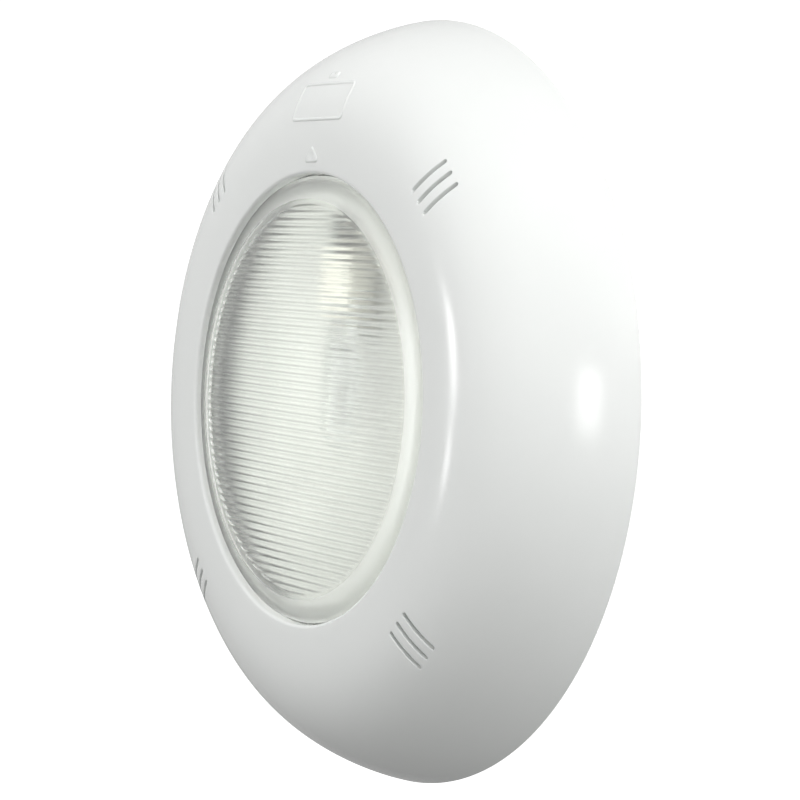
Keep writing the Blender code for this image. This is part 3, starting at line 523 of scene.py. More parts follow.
def tree_with_inputs(name, sizes):
    """A geometry tree with named number inputs, a material input and one geometry output."""
    tree = bpy.data.node_groups.new(name, "GeometryNodeTree")
    tree.interface.new_socket("Geometry", in_out="INPUT", socket_type="NodeSocketGeometry")
    for label, value in sizes.items():
        kind = "NodeSocketInt" if isinstance(value, int) else "NodeSocketFloat"
        socket = tree.interface.new_socket(label, in_out="INPUT", socket_type=kind)
        socket.default_value = value
    tree.interface.new_socket("Material", in_out="INPUT", socket_type="NodeSocketMaterial")
    tree.interface.new_socket("Geometry", in_out="OUTPUT", socket_type="NodeSocketGeometry")
    given = tree.nodes.new("NodeGroupInput")
    result = tree.nodes.new("NodeGroupOutput")
    return tree, given, result


def finish_tree(tree, given, result, geometry):
    """End a geometry tree with real geometry that carries its material."""
    real = wired(tree, "GeometryNodeRealizeInstances", {"Geometry": geometry})
    paint = wired(tree, "GeometryNodeSetMaterial", {
        "Geometry": real.outputs["Geometry"], "Material": given.outputs["Material"],
    })
    tree.links.new(paint.outputs["Geometry"], result.inputs["Geometry"])


def mesh_from_tree(tree, start_mesh, sizes, material):
    """Run a geometry tree on a mesh, with its inputs set, and keep the mesh it makes."""
    shape = bpy.data.objects.new("shape", start_mesh)
    scene.collection.objects.link(shape)
    modifier = shape.modifiers.new("nodes", "NODES")
    modifier.node_group = tree
    for socket in tree.interface.items_tree:
        if socket.in_out == "INPUT" and socket.name in sizes:
            modifier[socket.identifier] = sizes[socket.name]
        if socket.in_out == "INPUT" and socket.name == "Material":
            modifier[socket.identifier] = material
    mesh = baked_mesh(shape)
    bpy.data.objects.remove(shape, do_unlink=True)
    return mesh


def arithmetic(tree, operation, first, second=0.0):
    """One sum in a geometry tree, on sockets or plain numbers."""
    return wired(tree, "ShaderNodeMath", {0: first, 1: second}, operation=operation).outputs["Value"]


def cross_head_screw(head_radius, head_height, shank_radius, length):
    """A pan-head screw along -Y, head outwards from the origin, with a cross recess and a thread."""
    head = [
        (0, head_height), (head_radius * 0.45, head_height * 0.98), (head_radius * 0.82, head_height * 0.78),
        (head_radius * 0.98, head_height * 0.35), (head_radius, 0), (shank_radius, 0),
    ]
    pitch = shank_radius * 0.5
    ridges = int(length / pitch) - 1
    shank = []
    for i in range(ridges):
        shank.append((shank_radius, -pitch * (i + 0.5)))
        shank.append((shank_radius * 0.84, -pitch * (i + 1)))
    outline = head + shank + [(0, -length)]
    body = turned_mesh("screw", outline, 28, closed=False)
    arms = []
    for turn in (0, 90):
        work = bmesh.new()
        bmesh.ops.create_cube(work, size=1.0)
        bmesh.ops.scale(work, vec=(head_radius * 1.15, head_height, head_radius * 0.26), verts=work.verts)
        bmesh.ops.rotate(work, matrix=Matrix.Rotation(math.radians(turn + 17), 3, "Y"), verts=work.verts)
        bmesh.ops.translate(work, vec=(0, -head_height * 0.95, 0), verts=work.verts)
        arms.append(mesh_of(work, "arm"))
    return carved(body, cut=arms)


screw_sizes = {"Count": 8, "Radius": clamp_circle, "First angle": math.radians(clamp_angles[0])}
ring_tree, given, result = tree_with_inputs("screws on a circle", screw_sizes)
circle = wired(ring_tree, "GeometryNodeMeshCircle", {
    "Vertices": given.outputs["Count"], "Radius": given.outputs["Radius"],
})
stand = wired(ring_tree, "GeometryNodeTransform", {
    "Geometry": circle.outputs["Mesh"], "Rotation": (math.radians(90), 0, 0),
})
minus_angle = arithmetic(ring_tree, "MULTIPLY", given.outputs["First angle"], -1.0)
spin = wired(ring_tree, "ShaderNodeCombineXYZ", {"Y": minus_angle})
turn_ring = wired(ring_tree, "GeometryNodeTransform", {
    "Geometry": stand.outputs["Geometry"], "Rotation": spin.outputs["Vector"],
})
chance = wired(ring_tree, "FunctionNodeRandomValue", {"Max": 1.5, "Seed": 4}, data_type="FLOAT")
slack = wired(ring_tree, "ShaderNodeCombineXYZ", {"Y": chance.outputs[1]})
place_each = wired(ring_tree, "GeometryNodeInstanceOnPoints", {
    "Points": turn_ring.outputs["Geometry"], "Instance": given.outputs["Geometry"],
    "Rotation": slack.outputs["Vector"],
})
finish_tree(ring_tree, given, result, place_each.outputs["Instances"])
clamp_screw = cross_head_screw(head_radius=0.0031, head_height=0.0018, shank_radius=0.0016, length=0.0065)
clamp_screws = mesh_from_tree(ring_tree, clamp_screw, screw_sizes, stainless)
clamp_screws.transform(Matrix.Translation((0, -0.0363, 0)))
made_piece(
    "clamp_screws", clamp_screws, stainless, "head", "stainless",
    *[f"clamp_screw_{i + 1}" for i in range(8)], smooth=30,
)


# ======================== lamp
# A low-voltage halogen capsule. The quartz tube is pressed flat round two foils, with a sealed-off
# tip at the far end. A coiled tungsten filament hangs in it, and two pins push into the holder.
lamp_depth = -0.0250
pin_offset = 0.003175


def aimed(mesh, centre, direction):
    """Turn a shape made along -Y to another direction, and move it to its centre."""
    turn = Vector((0, -1, 0)).rotation_difference(Vector(direction)).to_matrix().to_4x4()
    mesh.transform(Matrix.Translation(centre) @ turn)
    return mesh


def joined_mesh(name, meshes):
    """Several closed shapes kept in one mesh."""
    work = bmesh.new()
    for mesh in meshes:
        work.from_mesh(mesh)
    return mesh_of(work, name)


def tube_loft(sections, steps, inward=False):
    """A closed loft up Z through flattened rings: height, half width, half depth and squareness."""
    work = bmesh.new()
    rings = []
    for height, half_width, half_depth, squareness in sections:
        loop = []
        for i in range(steps):
            a = 2 * math.pi * i / steps
            c, s = math.cos(a), math.sin(a)
            power = 2 / squareness
            x = half_width * math.copysign(abs(c) ** power, c)
            y = half_depth * math.copysign(abs(s) ** power, s)
            loop.append(work.verts.new((x, y, height)))
        rings.append(loop)
    loft(work, rings)
    bmesh.ops.recalc_face_normals(work, faces=work.faces)
    if inward:
        bmesh.ops.reverse_faces(work, faces=work.faces)
    return mesh_of(work, "loft")


tube = 0.00575
tube_end = -0.0130
outside = [(tube_end, 0.0004, 0.0004, 2), (tube_end + 0.0006, 0.0007, 0.0007, 2)]
outside += [(tube_end + 0.0011, 0.0011, 0.0011, 2)]
for i in range(1, 9):
    angle = math.radians(12 + 78 * i / 8)
    radius = tube * math.sin(angle)
    outside.append((tube_end + 0.0011 + (tube - 0.0011) * (1 - math.cos(angle)), radius, radius, 2))
outside += [(0.0185, tube, tube, 2), (0.0200, 0.0057, 0.0052, 2.2), (0.0215, 0.0054, 0.0034, 2.8)]
outside += [(0.0228, 0.0051, 0.0020, 4), (0.0240, 0.0050, 0.0018, 6), (0.0296, 0.0050, 0.0018, 6)]
outside += [(0.0300, 0.0047, 0.0015, 5)]
inside = []
for i in range(1, 8):
    angle = math.radians(6 + 84 * i / 7)
    radius = (tube - 0.0011) * math.sin(angle)
    inside.append((tube_end + 0.0022 + (tube - 0.0022) * (1 - math.cos(angle)), radius, radius, 2))
inside += [(0.0180, tube - 0.0011, tube - 0.0011, 2), (0.0196, 0.0042, 0.0036, 2.2)]
inside += [(0.0212, 0.0034, 0.0012, 2.5)]
envelope = joined_mesh("envelope", [tube_loft(outside, 48), tube_loft(inside, 40, inward=True)])
envelope.transform(Matrix.Translation((0, lamp_depth, 0)))

quartz = base_finish(
    "quartz", (0.99, 0.99, 1.0), (0.96, 0.97, 0.98), (0.01, 0.05), mottle=150,
    **{"Transmission Weight": 1.0, "IOR": 1.46},
)
lamp_glass = made_piece(
    "lamp_envelope", envelope, quartz, "bulb", "quartz", "bulb_capsule", "bulb_pinch", smooth=60,
)
lamp_glass.visible_shadow = False

tungsten = base_finish(
    "tungsten", (0.36, 0.35, 0.34), (0.26, 0.25, 0.25), (0.32, 0.50), mottle=400, Metallic=1.0,
)
post_radius = 0.0002
coil_sizes = {"Turns": 11.0, "Coil radius": 0.0012, "Length": 0.008, "Wire radius": post_radius}
wire_tree, given, result = tree_with_inputs("wound wire", coil_sizes)
winding = wired(wire_tree, "GeometryNodeCurveSpiral", {
    "Resolution": 16, "Rotations": given.outputs["Turns"], "Height": given.outputs["Length"],
    "Start Radius": given.outputs["Coil radius"], "End Radius": given.outputs["Coil radius"],
})
section = wired(wire_tree, "GeometryNodeCurvePrimitiveCircle", {
    "Resolution": 8, "Radius": given.outputs["Wire radius"],
})
draw = wired(wire_tree, "GeometryNodeCurveToMesh", {
    "Fill Caps": True, "Curve": winding.outputs["Curve"], "Profile Curve": section.outputs["Curve"],
})
finish_tree(wire_tree, given, result, draw.outputs["Mesh"])
coil = mesh_from_tree(wire_tree, bpy.data.meshes.new("empty"), coil_sizes, tungsten)
coil.transform(Matrix.Translation((0, lamp_depth, -0.004)))
posts = [
    rod_mesh("post", (-0.0022, lamp_depth, 0.0084), (0, 0, 1), post_radius, 0.0262, 12),
    rod_mesh("post", (0.0022, lamp_depth, 0.0128), (0, 0, 1), post_radius, 0.0174, 12),
    rod_mesh("link", (-0.0011, lamp_depth, -0.0045), (1, 0, 0), post_radius, 0.0026, 12),
    rod_mesh("link", (0.0017, lamp_depth, 0.0042), (1, 0, 0), post_radius, 0.0012, 12),
]
made_piece(
    "lamp_filament", joined_mesh("filament", [coil] + posts), tungsten, "bulb", "tungsten", "bulb_filament",
)

stainless_pins = []
for side in (-1, 1):
    pin = [(0, 0.0074), (0.0004, 0.0074), (0.000625, 0.0070), (0.000625, 0), (0, 0)]
    pin_mesh = turned_mesh("pin", pin, 20, closed=False)
    stainless_pins.append(aimed(pin_mesh, (side * pin_offset, lamp_depth, 0.0303), (0, 0, 1)))
made_piece(
    "lamp_pins", joined_mesh("pins", stainless_pins), stainless, "bulb", "stainless",
    "bulb_pin_left", "bulb_pin_right",
)


# ======================== lamp holder
# A pressed steatite block takes the lamp's pins in two sprung sleeves. Two small screws hold it on
# a bent steel strap, and the strap's foot is screwed to a boss behind the reflector's window.
holder_low, holder_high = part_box("lamp_holder")
holder_centre = (holder_low + holder_high) / 2
holder_size = holder_high - holder_low


def block_mesh(name, size, centre, corner, corner_axis=None, segments=4):
    """A box whose edges are rounded, or only those that run along one axis."""
    work = bmesh.new()
    bmesh.ops.create_cube(work, size=1.0)
    bmesh.ops.scale(work, vec=size, verts=work.verts)
    edges = list(work.edges)
    if corner_axis is not None:
        edges = [e for e in edges if abs(e.verts[0].co[corner_axis] - e.verts[1].co[corner_axis]) > 1e-6]
    bmesh.ops.bevel(work, geom=edges, offset=corner, segments=segments, affect="EDGES", profile=0.5)
    bmesh.ops.translate(work, vec=centre, verts=work.verts)
    return mesh_of(work, name)


holder_screw_across = 0.0072
holder_screw_up = 0.0400
holder_screw_hole = 0.0013
holder_cuts = []
for side in (-1, 1):
    bore_place = (side * pin_offset, lamp_depth, holder_centre.z)
    holder_cuts.append(rod_mesh("bore", bore_place, (0, 0, 1), 0.0019, 0.03, 32))
    mouth_place = (side * pin_offset, lamp_depth, holder_low.z)
    holder_cuts.append(rod_mesh("mouth", mouth_place, (0, 0, 1), 0.0026, 0.0016, 32, far_radius=0.0019))
    screw_place = (side * holder_screw_across, lamp_depth, holder_screw_up)
    holder_cuts.append(rod_mesh("hole", screw_place, (0, 1, 0), holder_screw_hole, 0.02, 24))
holder_cuts.append(block_mesh("groove", (0.0046, 0.0016, 0.012), (0, holder_low.y, 0.0387), 0.0007, 2))
steatite = base_finish(
    "steatite", (0.84, 0.82, 0.76), (0.76, 0.74, 0.68), (0.45, 0.65), mottle=140, grain=0.5,
)
holder_block = block_mesh("holder", holder_size, holder_centre, 0.0018, 1, 5)
made_piece(
    "lamp_holder_block", carved(holder_block, cut=holder_cuts), steatite,
    "head", "steatite", "lamp_holder", edge=0.00035,
)

nickel_brass = base_finish(
    "nickel_brass", (0.74, 0.70, 0.60), (0.62, 0.58, 0.49), (0.22, 0.40), mottle=250, Metallic=1.0,
)
sleeves = []
for side in (-1, 1):
    ring_section = [(0.00095, 0), (0.0016, 0), (0.0016, 0.0085), (0.00095, 0.0085)]
    contact = turned_mesh("contact", eased(ring_section, 0.0001, 2), 28)
    sleeves.append(aimed(contact, (side * pin_offset, lamp_depth, 0.0315), (0, 0, 1)))
made_piece(
    "contact_sleeves", joined_mesh("sleeves", sleeves), nickel_brass, "head", "nickel_brass",
    "holder_contact_left", "holder_contact_right",
)

holder_screws = []
for side in (-1, 1):
    screw = cross_head_screw(head_radius=0.0019, head_height=0.0012, shank_radius=0.0010, length=0.0105)
    screw.transform(Matrix.Translation((side * holder_screw_across, -0.0298, holder_screw_up)))
    holder_screws.append(screw)
made_piece(
    "holder_screws", joined_mesh("holder_screws", holder_screws), stainless, "head", "stainless",
    "holder_screw_left", "holder_screw_right",
)

strap_sheet = 0.0008
strap_bend = [(0.0310, 0.0202), (0.0470, 0.0202), (0.0490, 0.0181), (0.0590, 0.0181)]
strap_path = eased(strap_bend, 0.0009, 5, closed=False)
strap_work = bmesh.new()
strap_rings = []
for along, height in strap_path:
    half = 0.0090 if along < 0.0489 else 0.0050
    under = height - strap_sheet
    strap_corners = ((-half, height), (half, height), (half, under), (-half, under))
    strap_rings.append([strap_work.verts.new((x, -h, along)) for x, h in strap_corners])
loft(strap_work, strap_rings)
strap = mesh_of(strap_work, "strap", outwards=True)
strap_holes = []
for side in (-1, 1):
    hole_place = (side * holder_screw_across, -0.019, holder_screw_up)
    strap_holes.append(rod_mesh("hole", hole_place, (0, 1, 0), holder_screw_hole, 0.01, 24))
strap_holes.append(rod_mesh("hole", (0, -0.018, strap_boss_height), (0, 1, 0), strap_screw_hole, 0.01, 24))
made_piece(
    "strap_bracket", carved(strap, cut=strap_holes), stainless, "head", "stainless", "holder_strap",
    edge=0.0001,
)
foot_screw = cross_head_screw(head_radius=0.0028, head_height=0.0016, shank_radius=0.0014, length=0.0050)
foot_screw.transform(Matrix.Translation((0, -0.0184, strap_boss_height)))
made_piece("strap_foot_screw", foot_screw, stainless, "head", "stainless", "strap_screw")


# ======================== leads and terminal block
# Two leads in glass-fibre sleeving run from the holder down through the window, and lie in the
# channel round the housing as far as a two-way terminal block, where the supply cable is joined.
lead_radius = 0.0012
channel_centre = 0.0694
lead_pitch = 0.0046
lead_height = 0.0110
terminal_angle = -50
terminal_length = 0.0160


def terminal_spot(offset, along, height):
    """A point in the terminal block: outwards, round the channel towards the lamp, and up."""
    centre = on_face(channel_centre + offset, terminal_angle, height)
    return centre + on_face(along, terminal_angle + 90, 0)


def smooth_route(stations, spacing):
    """Evenly read points on a smooth curve through every station."""
    ends = [2 * stations[0] - stations[1]] + stations + [2 * stations[-1] - stations[-2]]
    route = []
    for before, start, end, after in zip(ends, ends[1:], ends[2:], ends[3:]):
        count = max(1, round((end - start).length / spacing))
        for step in range(count):
            t = step / count
            pull = (end - before) * t + (2 * before - 5 * start + 4 * end - after) * t ** 2
            swing = (3 * start - before - 3 * end + after) * t ** 3
            route.append(start + (pull + swing) / 2)
    return route + [stations[-1]]


def wire_mesh(name, route, radius, roundness=4):
    """A round wire along a route, with filled ends."""
    line = bpy.data.curves.new(name, "CURVE")
    line.dimensions = "3D"
    line.bevel_depth = radius
    line.bevel_resolution = roundness
    line.use_fill_caps = True
    spline = line.splines.new("POLY")
    spline.points.add(len(route) - 1)
    for point, spot in zip(spline.points, route):
        point.co = (*spot, 1)
    shape = bpy.data.objects.new(name, line)
    scene.collection.objects.link(shape)
    mesh = baked_mesh(shape)
    bpy.data.objects.remove(shape, do_unlink=True)
    work = bmesh.new()
    work.from_mesh(mesh)
    bmesh.ops.remove_doubles(work, verts=work.verts, dist=1e-6)
    bmesh.ops.recalc_face_normals(work, faces=work.faces)
    work.to_mesh(mesh)
    work.free()
    return mesh


lead_sleeve = base_finish(
    "lead_sleeve", (0.80, 0.78, 0.73), (0.66, 0.64, 0.59), (0.55, 0.8), mottle=700, grain=0.8,
)
for side, name in ((1, "right"), (-1, "left")):
    offset = -side * lead_pitch / 2
    radius = channel_centre + offset
    stations = [
        Vector((side * pin_offset, lamp_depth, 0.0405)),
        Vector((side * pin_offset, lamp_depth, 0.0475)),
        Vector((side * 0.0052, -0.0240, 0.0510)),
        Vector((side * 0.0074, -0.0205, 0.0555)),
        Vector((side * 0.0080, -0.0172, 0.0605)),
    ]
    first = 80 if side > 0 else 93
    stations.append(on_face(radius - 0.0012, first, 0.0155))
    stations.append(on_face(radius, first - 7, 0.0124))
    arc_start, arc_end = first - 14, terminal_angle + 14
    for i in range(11):
        stations.append(on_face(radius, arc_start + (arc_end - arc_start) * i / 10, lead_height))
    stations.append(terminal_spot(offset, terminal_length / 2 + 0.001, lead_height))
    stations.append(terminal_spot(offset, terminal_length / 2 - 0.006, lead_height))
    lead = wire_mesh("lead", smooth_route(stations, 0.0018), lead_radius - 0.00002)
    made_piece(f"sleeved_lead_{name}", lead, lead_sleeve, "head", "lead_sleeve", f"lead_{name}", smooth=60)

terminal_foot = 0.0068
terminal_top = 0.0170
terminal_size = (0.0090, terminal_top - terminal_foot, terminal_length)
terminal_body = block_mesh("terminal", terminal_size, (0, 0, 0), 0.0006)
terminal_turn = Matrix.Rotation(math.radians(-terminal_angle), 4, "Y")
terminal_middle = terminal_spot(0, 0, (terminal_top + terminal_foot) / 2)
terminal_body.transform(Matrix.Translation(terminal_middle) @ terminal_turn)
terminal_cuts, terminal_screws = [], []
along_block = on_face(1, terminal_angle + 90, 0)
for side in (-1, 1):
    across_block = side * lead_pitch / 2
    bore_place = terminal_spot(across_block, 0, lead_height)
    terminal_cuts.append(rod_mesh("bore", bore_place, along_block, 0.0017, 0.03, 24))
    for along in (-0.0045, 0.0045):
        well = terminal_spot(across_block, along, terminal_top)
        terminal_cuts.append(rod_mesh("well", well, (0, 1, 0), 0.0018, 0.010, 24))
        screw_section = [(0, 0.0040), (0.0012, 0.0040), (0.0014, 0.0038), (0.0014, 0), (0, 0)]
        slotted = turned_mesh("screw", screw_section, 24, closed=False)
        slit = block_mesh("slit", (0.0004, 0.0014, 0.004), (0, -0.0040, 0), 0.00005, 1, 1)
        screw = carved(slotted, cut=[slit])
        screw.transform(Matrix.Translation(well + Vector((0, 0.0042, 0))))
        terminal_screws.append(screw)
rib = block_mesh("rib", (0.0008, 0.0016, terminal_length * 0.8), (0, 0, 0), 0.0002)
rib.transform(Matrix.Translation(terminal_spot(0, 0, terminal_top)) @ terminal_turn)
terminal_cuts.append(rib)
black_nylon = base_finish(
    "black_nylon", (0.040, 0.041, 0.043), (0.026, 0.027, 0.029), (0.38, 0.58), grain=0.35,
)
made_piece(
    "terminal_body", carved(terminal_body, cut=terminal_cuts), black_nylon,
    "head", "black_nylon", "terminal_block",
)
made_piece(
    "terminal_screws", joined_mesh("terminal_screws", terminal_screws), nickel_brass,
    "head", "nickel_brass", *[f"terminal_screw_{i + 1}" for i in range(4)],
)


# ======================== cable gland
# A nylon gland screws into the housing's bottom boss, sealed by a rubber washer and held by a
# locknut inside. Its cap nut squeezes a rubber sleeve round the cable that would come up through it.
gland_centre = Vector((0, -gland_height, 0))
gland_thread = 0.0078
cap_thread = 0.0080
spanner_size = 0.0180
collar_start, collar_end = 0.0808, 0.0858
cap_start, cap_end = 0.0861, 0.0970
gland_mouth = 0.0930
seal_seat = 0.0840
seal_radius = 0.0063
spanner_round = 0.97
gland_bore = 0.0050
thread_gap = 0.0003


def down_gland(outline, steps=64):
    """A turned shape along the gland, with its heights measured down from the light's centre."""
    return aimed(turned_mesh("turned", outline, steps), gland_centre, (0, 0, -1))


def hexagon_mesh(across_flats, start, end, chamfer, bore, chamfer_both=False):
    """A nut along the gland, with its two flats towards the wall and the room, and eased corners."""
    corner = across_flats / math.sqrt(3)
    flat_radius = across_flats / 2 * spanner_round
    work = bmesh.new()
    turns = [math.pi * i / 3 for i in range(6)]
    low_ring = [work.verts.new((corner * math.cos(a), corner * math.sin(a), 0)) for a in turns]
    base = work.faces.new(low_ring)
    raised = bmesh.ops.extrude_face_region(work, geom=[base])
    moved = [v for v in raised["geom"] if isinstance(v, bmesh.types.BMVert)]
    bmesh.ops.translate(work, vec=(0, 0, end - start), verts=moved)
    bmesh.ops.recalc_face_normals(work, faces=work.faces)
    posts = [e for e in work.edges if abs(e.verts[0].co.z - e.verts[1].co.z) > 1e-6]
    bmesh.ops.bevel(work, geom=posts, offset=0.0004, segments=3, affect="EDGES", profile=0.5)
    nut = mesh_of(work, "nut")
    nut.transform(Matrix.Translation((0, -gland_height, -start)) @ Matrix.Rotation(math.pi, 4, "X"))
    cone = [(bore, start - 0.001), (corner * 1.2, start - 0.001), (corner * 1.2, end - chamfer * 2)]
    cone += [(flat_radius, end), (flat_radius, end + 0.001), (bore, end + 0.001)]
    if chamfer_both:
        cone[0:2] = [(bore, start), (flat_radius, start), (corner * 1.2, start + chamfer * 2)]
    body = bpy.data.objects.new("nut", nut)
    limit = bpy.data.objects.new("limit", down_gland(cone, 96))
    for shape in (body, limit):
        scene.collection.objects.link(shape)
    trim = body.modifiers.new("trim", "BOOLEAN")
    trim.operation = "INTERSECT"
    trim.object = limit
    mesh = baked_mesh(body)
    for shape in (body, limit):
        bpy.data.objects.remove(shape, do_unlink=True)
    return mesh


def thread_outline(radius, start, end, pitch, depth):
    """The outer side of a screw thread, as close round ridges."""
    count = int((end - start) / pitch)
    ridges = []
    for i in range(count):
        ridges.append((radius, start + pitch * (i + 0.30)))
        ridges.append((radius, start + pitch * (i + 0.45)))
        ridges.append((radius - depth, start + pitch * (i + 0.85)))
        ridges.append((radius - depth, start + pitch * (i + 1.0)))
    return ridges


lower_thread = thread_outline(cap_thread, collar_end + 0.0004, gland_mouth - 0.0004, 0.0014, 0.0005)
upper_thread = thread_outline(gland_thread, 0.0674, collar_start - 0.0004, 0.0015, 0.0005)
gland_tube = [(gland_bore, 0.0670), (gland_thread - 0.0006, 0.0670)] + upper_thread
gland_tube += [(gland_thread - 0.0006, collar_start + 0.001), (gland_thread - 0.0006, collar_end - 0.001)]
gland_tube += [(cap_thread - 0.0006, collar_end - 0.001)] + lower_thread
gland_tube += [(cap_thread - 0.0006, gland_mouth), (seal_radius + thread_gap, gland_mouth)]
gland_tube += [(seal_radius + thread_gap, seal_seat), (gland_bore, seal_seat)]
collar = hexagon_mesh(spanner_size, collar_start, collar_end, 0.0006, gland_thread - 0.001, chamfer_both=True)
made_piece(
    "gland_body_moulding", carved(down_gland(gland_tube), joined=[collar]), black_nylon,
    "head", "black_nylon", "gland_body",
)

rubber = base_finish("gland_rubber", (0.060, 0.062, 0.066), (0.045, 0.046, 0.050), (0.55, 0.78), grain=0.25)
washer_bore, washer_radius = gland_thread + thread_gap, 0.0092
washer_outline = [
    (washer_bore, 0.0793), (washer_radius, 0.0793), (washer_radius, 0.0805), (washer_bore, 0.0805),
]
made_piece(
    "gland_sealing_washer", down_gland(eased(washer_outline, 0.0003)), rubber,
    "head", "silicone", "gland_washer",
)

locknut_bore = rod_mesh("bore", (0, -gland_height, -0.0713), (0, 0, 1), gland_thread + thread_gap, 0.02, 64)
locknut = hexagon_mesh(0.0170, 0.0695, 0.0731, 0.0005, 0.0060, chamfer_both=True)
made_piece(
    "gland_locking_nut", carved(locknut, cut=[locknut_bore]), black_nylon,
    "head", "black_nylon", "gland_locknut",
)

cable_bore = 0.0042
seal_outline = [
    (cable_bore, seal_seat + 0.0005), (seal_radius, seal_seat + 0.0005), (seal_radius, gland_mouth + 0.0002),
    (0.0056, gland_mouth + 0.0005), (cable_bore, gland_mouth + 0.0005),
]
made_piece(
    "gland_cable_seal", down_gland(eased(seal_outline, 0.0003)), rubber, "head", "silicone", "gland_seal",
)

cap_body = hexagon_mesh(spanner_size, cap_start, 0.0945, 0.0007, 0.0040)
cap_round = [
    (0.0040, 0.0935), (0.0089, 0.0935), (0.0089, 0.0945), (0.0085, 0.0957), (0.0075, 0.0967),
    (0.0062, cap_end), (0.0040, cap_end),
]
hollow_length = gland_mouth + 0.0008 - cap_start + 0.001
hollow_middle = (gland_mouth + 0.0008 + cap_start - 0.001) / 2
hollow_place = (0, -gland_height, -hollow_middle)
cap_hollow = rod_mesh("hollow", hollow_place, (0, 0, 1), cap_thread + thread_gap, hollow_length, 64)
cap_mouth = rod_mesh("mouth", (0, -gland_height, -cap_end), (0, 0, 1), gland_bore, 0.02, 48)
cap_nut = carved(cap_body, joined=[down_gland(cap_round)], cut=[cap_hollow, cap_mouth])
made_piece(
    "gland_cap_nut", cap_nut, black_nylon,
    "head", "black_nylon", "gland_nut",
)


# ======================== lens
# A thick moulded polycarbonate window. Its outer face is a smooth shallow dome, and its inner face
# carries fine level flutes that spread the light, inside a plain band. A flange below is clamped.
lens_low, lens_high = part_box("lens")
lens_crown = -lens_low.y
fluted_radius = 0.0645
flute_edge = 0.0632
band_height = 0.0433
lens_radius = 0.0724
lens_edge = 0.0403
lens_wall = 0.0038
flange_radius = lens_high.x
flange_top, flange_foot = 0.0335, -lens_high.y
flute_pitch = 0.00255
flute_depth = 0.00022
flute_run_out = 0.0009


def dome_height(radius):
    """Height of the lens's outer face inside the plain band."""
    return lens_crown - (lens_crown - band_height) * (radius / fluted_radius) ** 2


row_count = 540
pole_angle = math.radians(80)
levels = [fluted_radius * math.sin(pole_angle) * (2 * i / row_count - 1) for i in range(row_count + 1)]
pole = [fluted_radius * math.sin(math.radians(81 + i)) for i in range(9)]
levels = [-z for z in reversed(pole)] + levels + pole
columns = 44
lens_work = bmesh.new()
flute_share = lens_work.verts.layers.float.new("flute")
clear_share = lens_work.verts.layers.float.new("clear")

inner_rows = []
for z in levels:
    half = math.sqrt(max(0.0, fluted_radius ** 2 - z ** 2))
    row = []
    for i in range(columns + 1):
        x = half * math.sin(math.pi / 2 * (2 * i / columns - 1))
        radius = math.hypot(x, z)
        point = lens_work.verts.new((x, -(dome_height(radius) - lens_wall), z))
        fade = (flute_edge - radius) / flute_run_out
        point[flute_share] = max(0.0, min(1.0, fade))
        point[clear_share] = 1.0
        row.append(point)
    inner_rows.append(row)
for one, two in zip(inner_rows, inner_rows[1:]):
    for i in range(columns):
        lens_work.faces.new((one[i], one[i + 1], two[i + 1], two[i]))
band_under = band_height - lens_wall
bottom = lens_work.verts.new((0, -band_under, -fluted_radius))
top = lens_work.verts.new((0, -band_under, fluted_radius))
for i in range(columns):
    lens_work.faces.new((bottom, inner_rows[0][i + 1], inner_rows[0][i]))
    lens_work.faces.new((top, inner_rows[-1][i], inner_rows[-1][i + 1]))
edge_loop = [bottom] + [row[-1] for row in inner_rows] + [top] + [row[0] for row in reversed(inner_rows)]
edge_angles = [math.atan2(point.co.z, point.co.x) for point in edge_loop]
side_wall = lens_radius - lens_wall / 2
section = [(0.0660, band_under - 0.0002), (0.0685, band_under - 0.0010)]
section += [(side_wall - 0.0012, band_under - 0.0022), (side_wall - 0.0004, band_under - 0.0027)]
section += [(side_wall, lens_edge - lens_wall / 2 - 0.0016), (side_wall, flange_foot + 0.0003)]
section += [(side_wall + 0.0003, flange_foot), (flange_radius - 0.0005, flange_foot)]
section += [(flange_radius, flange_foot + 0.0005), (flange_radius, flange_top - 0.0004)]
section += [(flange_radius - 0.0004, flange_top), (lens_radius + 0.0006, flange_top)]
section += [(lens_radius, flange_top + 0.0006), (lens_radius, lens_edge - 0.0006)]
section += [(lens_radius - 0.0003, lens_edge + 0.0002), (lens_radius - 0.0011, lens_edge + 0.0009)]
section += [(0.0700, 0.0418), (0.0680, 0.0425), (0.0662, 0.0430), (0.0650, 0.04325)]
section += [(fluted_radius * i / 16, dome_height(fluted_radius * i / 16)) for i in range(16, 0, -1)]
loop = edge_loop
for radius, height in section:
    ring = [lens_work.verts.new((radius * math.cos(a), -height, radius * math.sin(a))) for a in edge_angles]
    bridge(lens_work, loop, ring)
    in_clear_part = radius <= fluted_radius and height > band_height - 0.001
    for point in ring:
        point[clear_share] = 1.0 if in_clear_part else 0.0
    loop = ring
centre = lens_work.verts.new((0, -lens_crown, 0))
centre[clear_share] = 1.0
for i in range(len(loop)):
    lens_work.faces.new((loop[i], loop[(i + 1) % len(loop)], centre))
plain_lens = mesh_of(lens_work, "plain_lens", outwards=True)

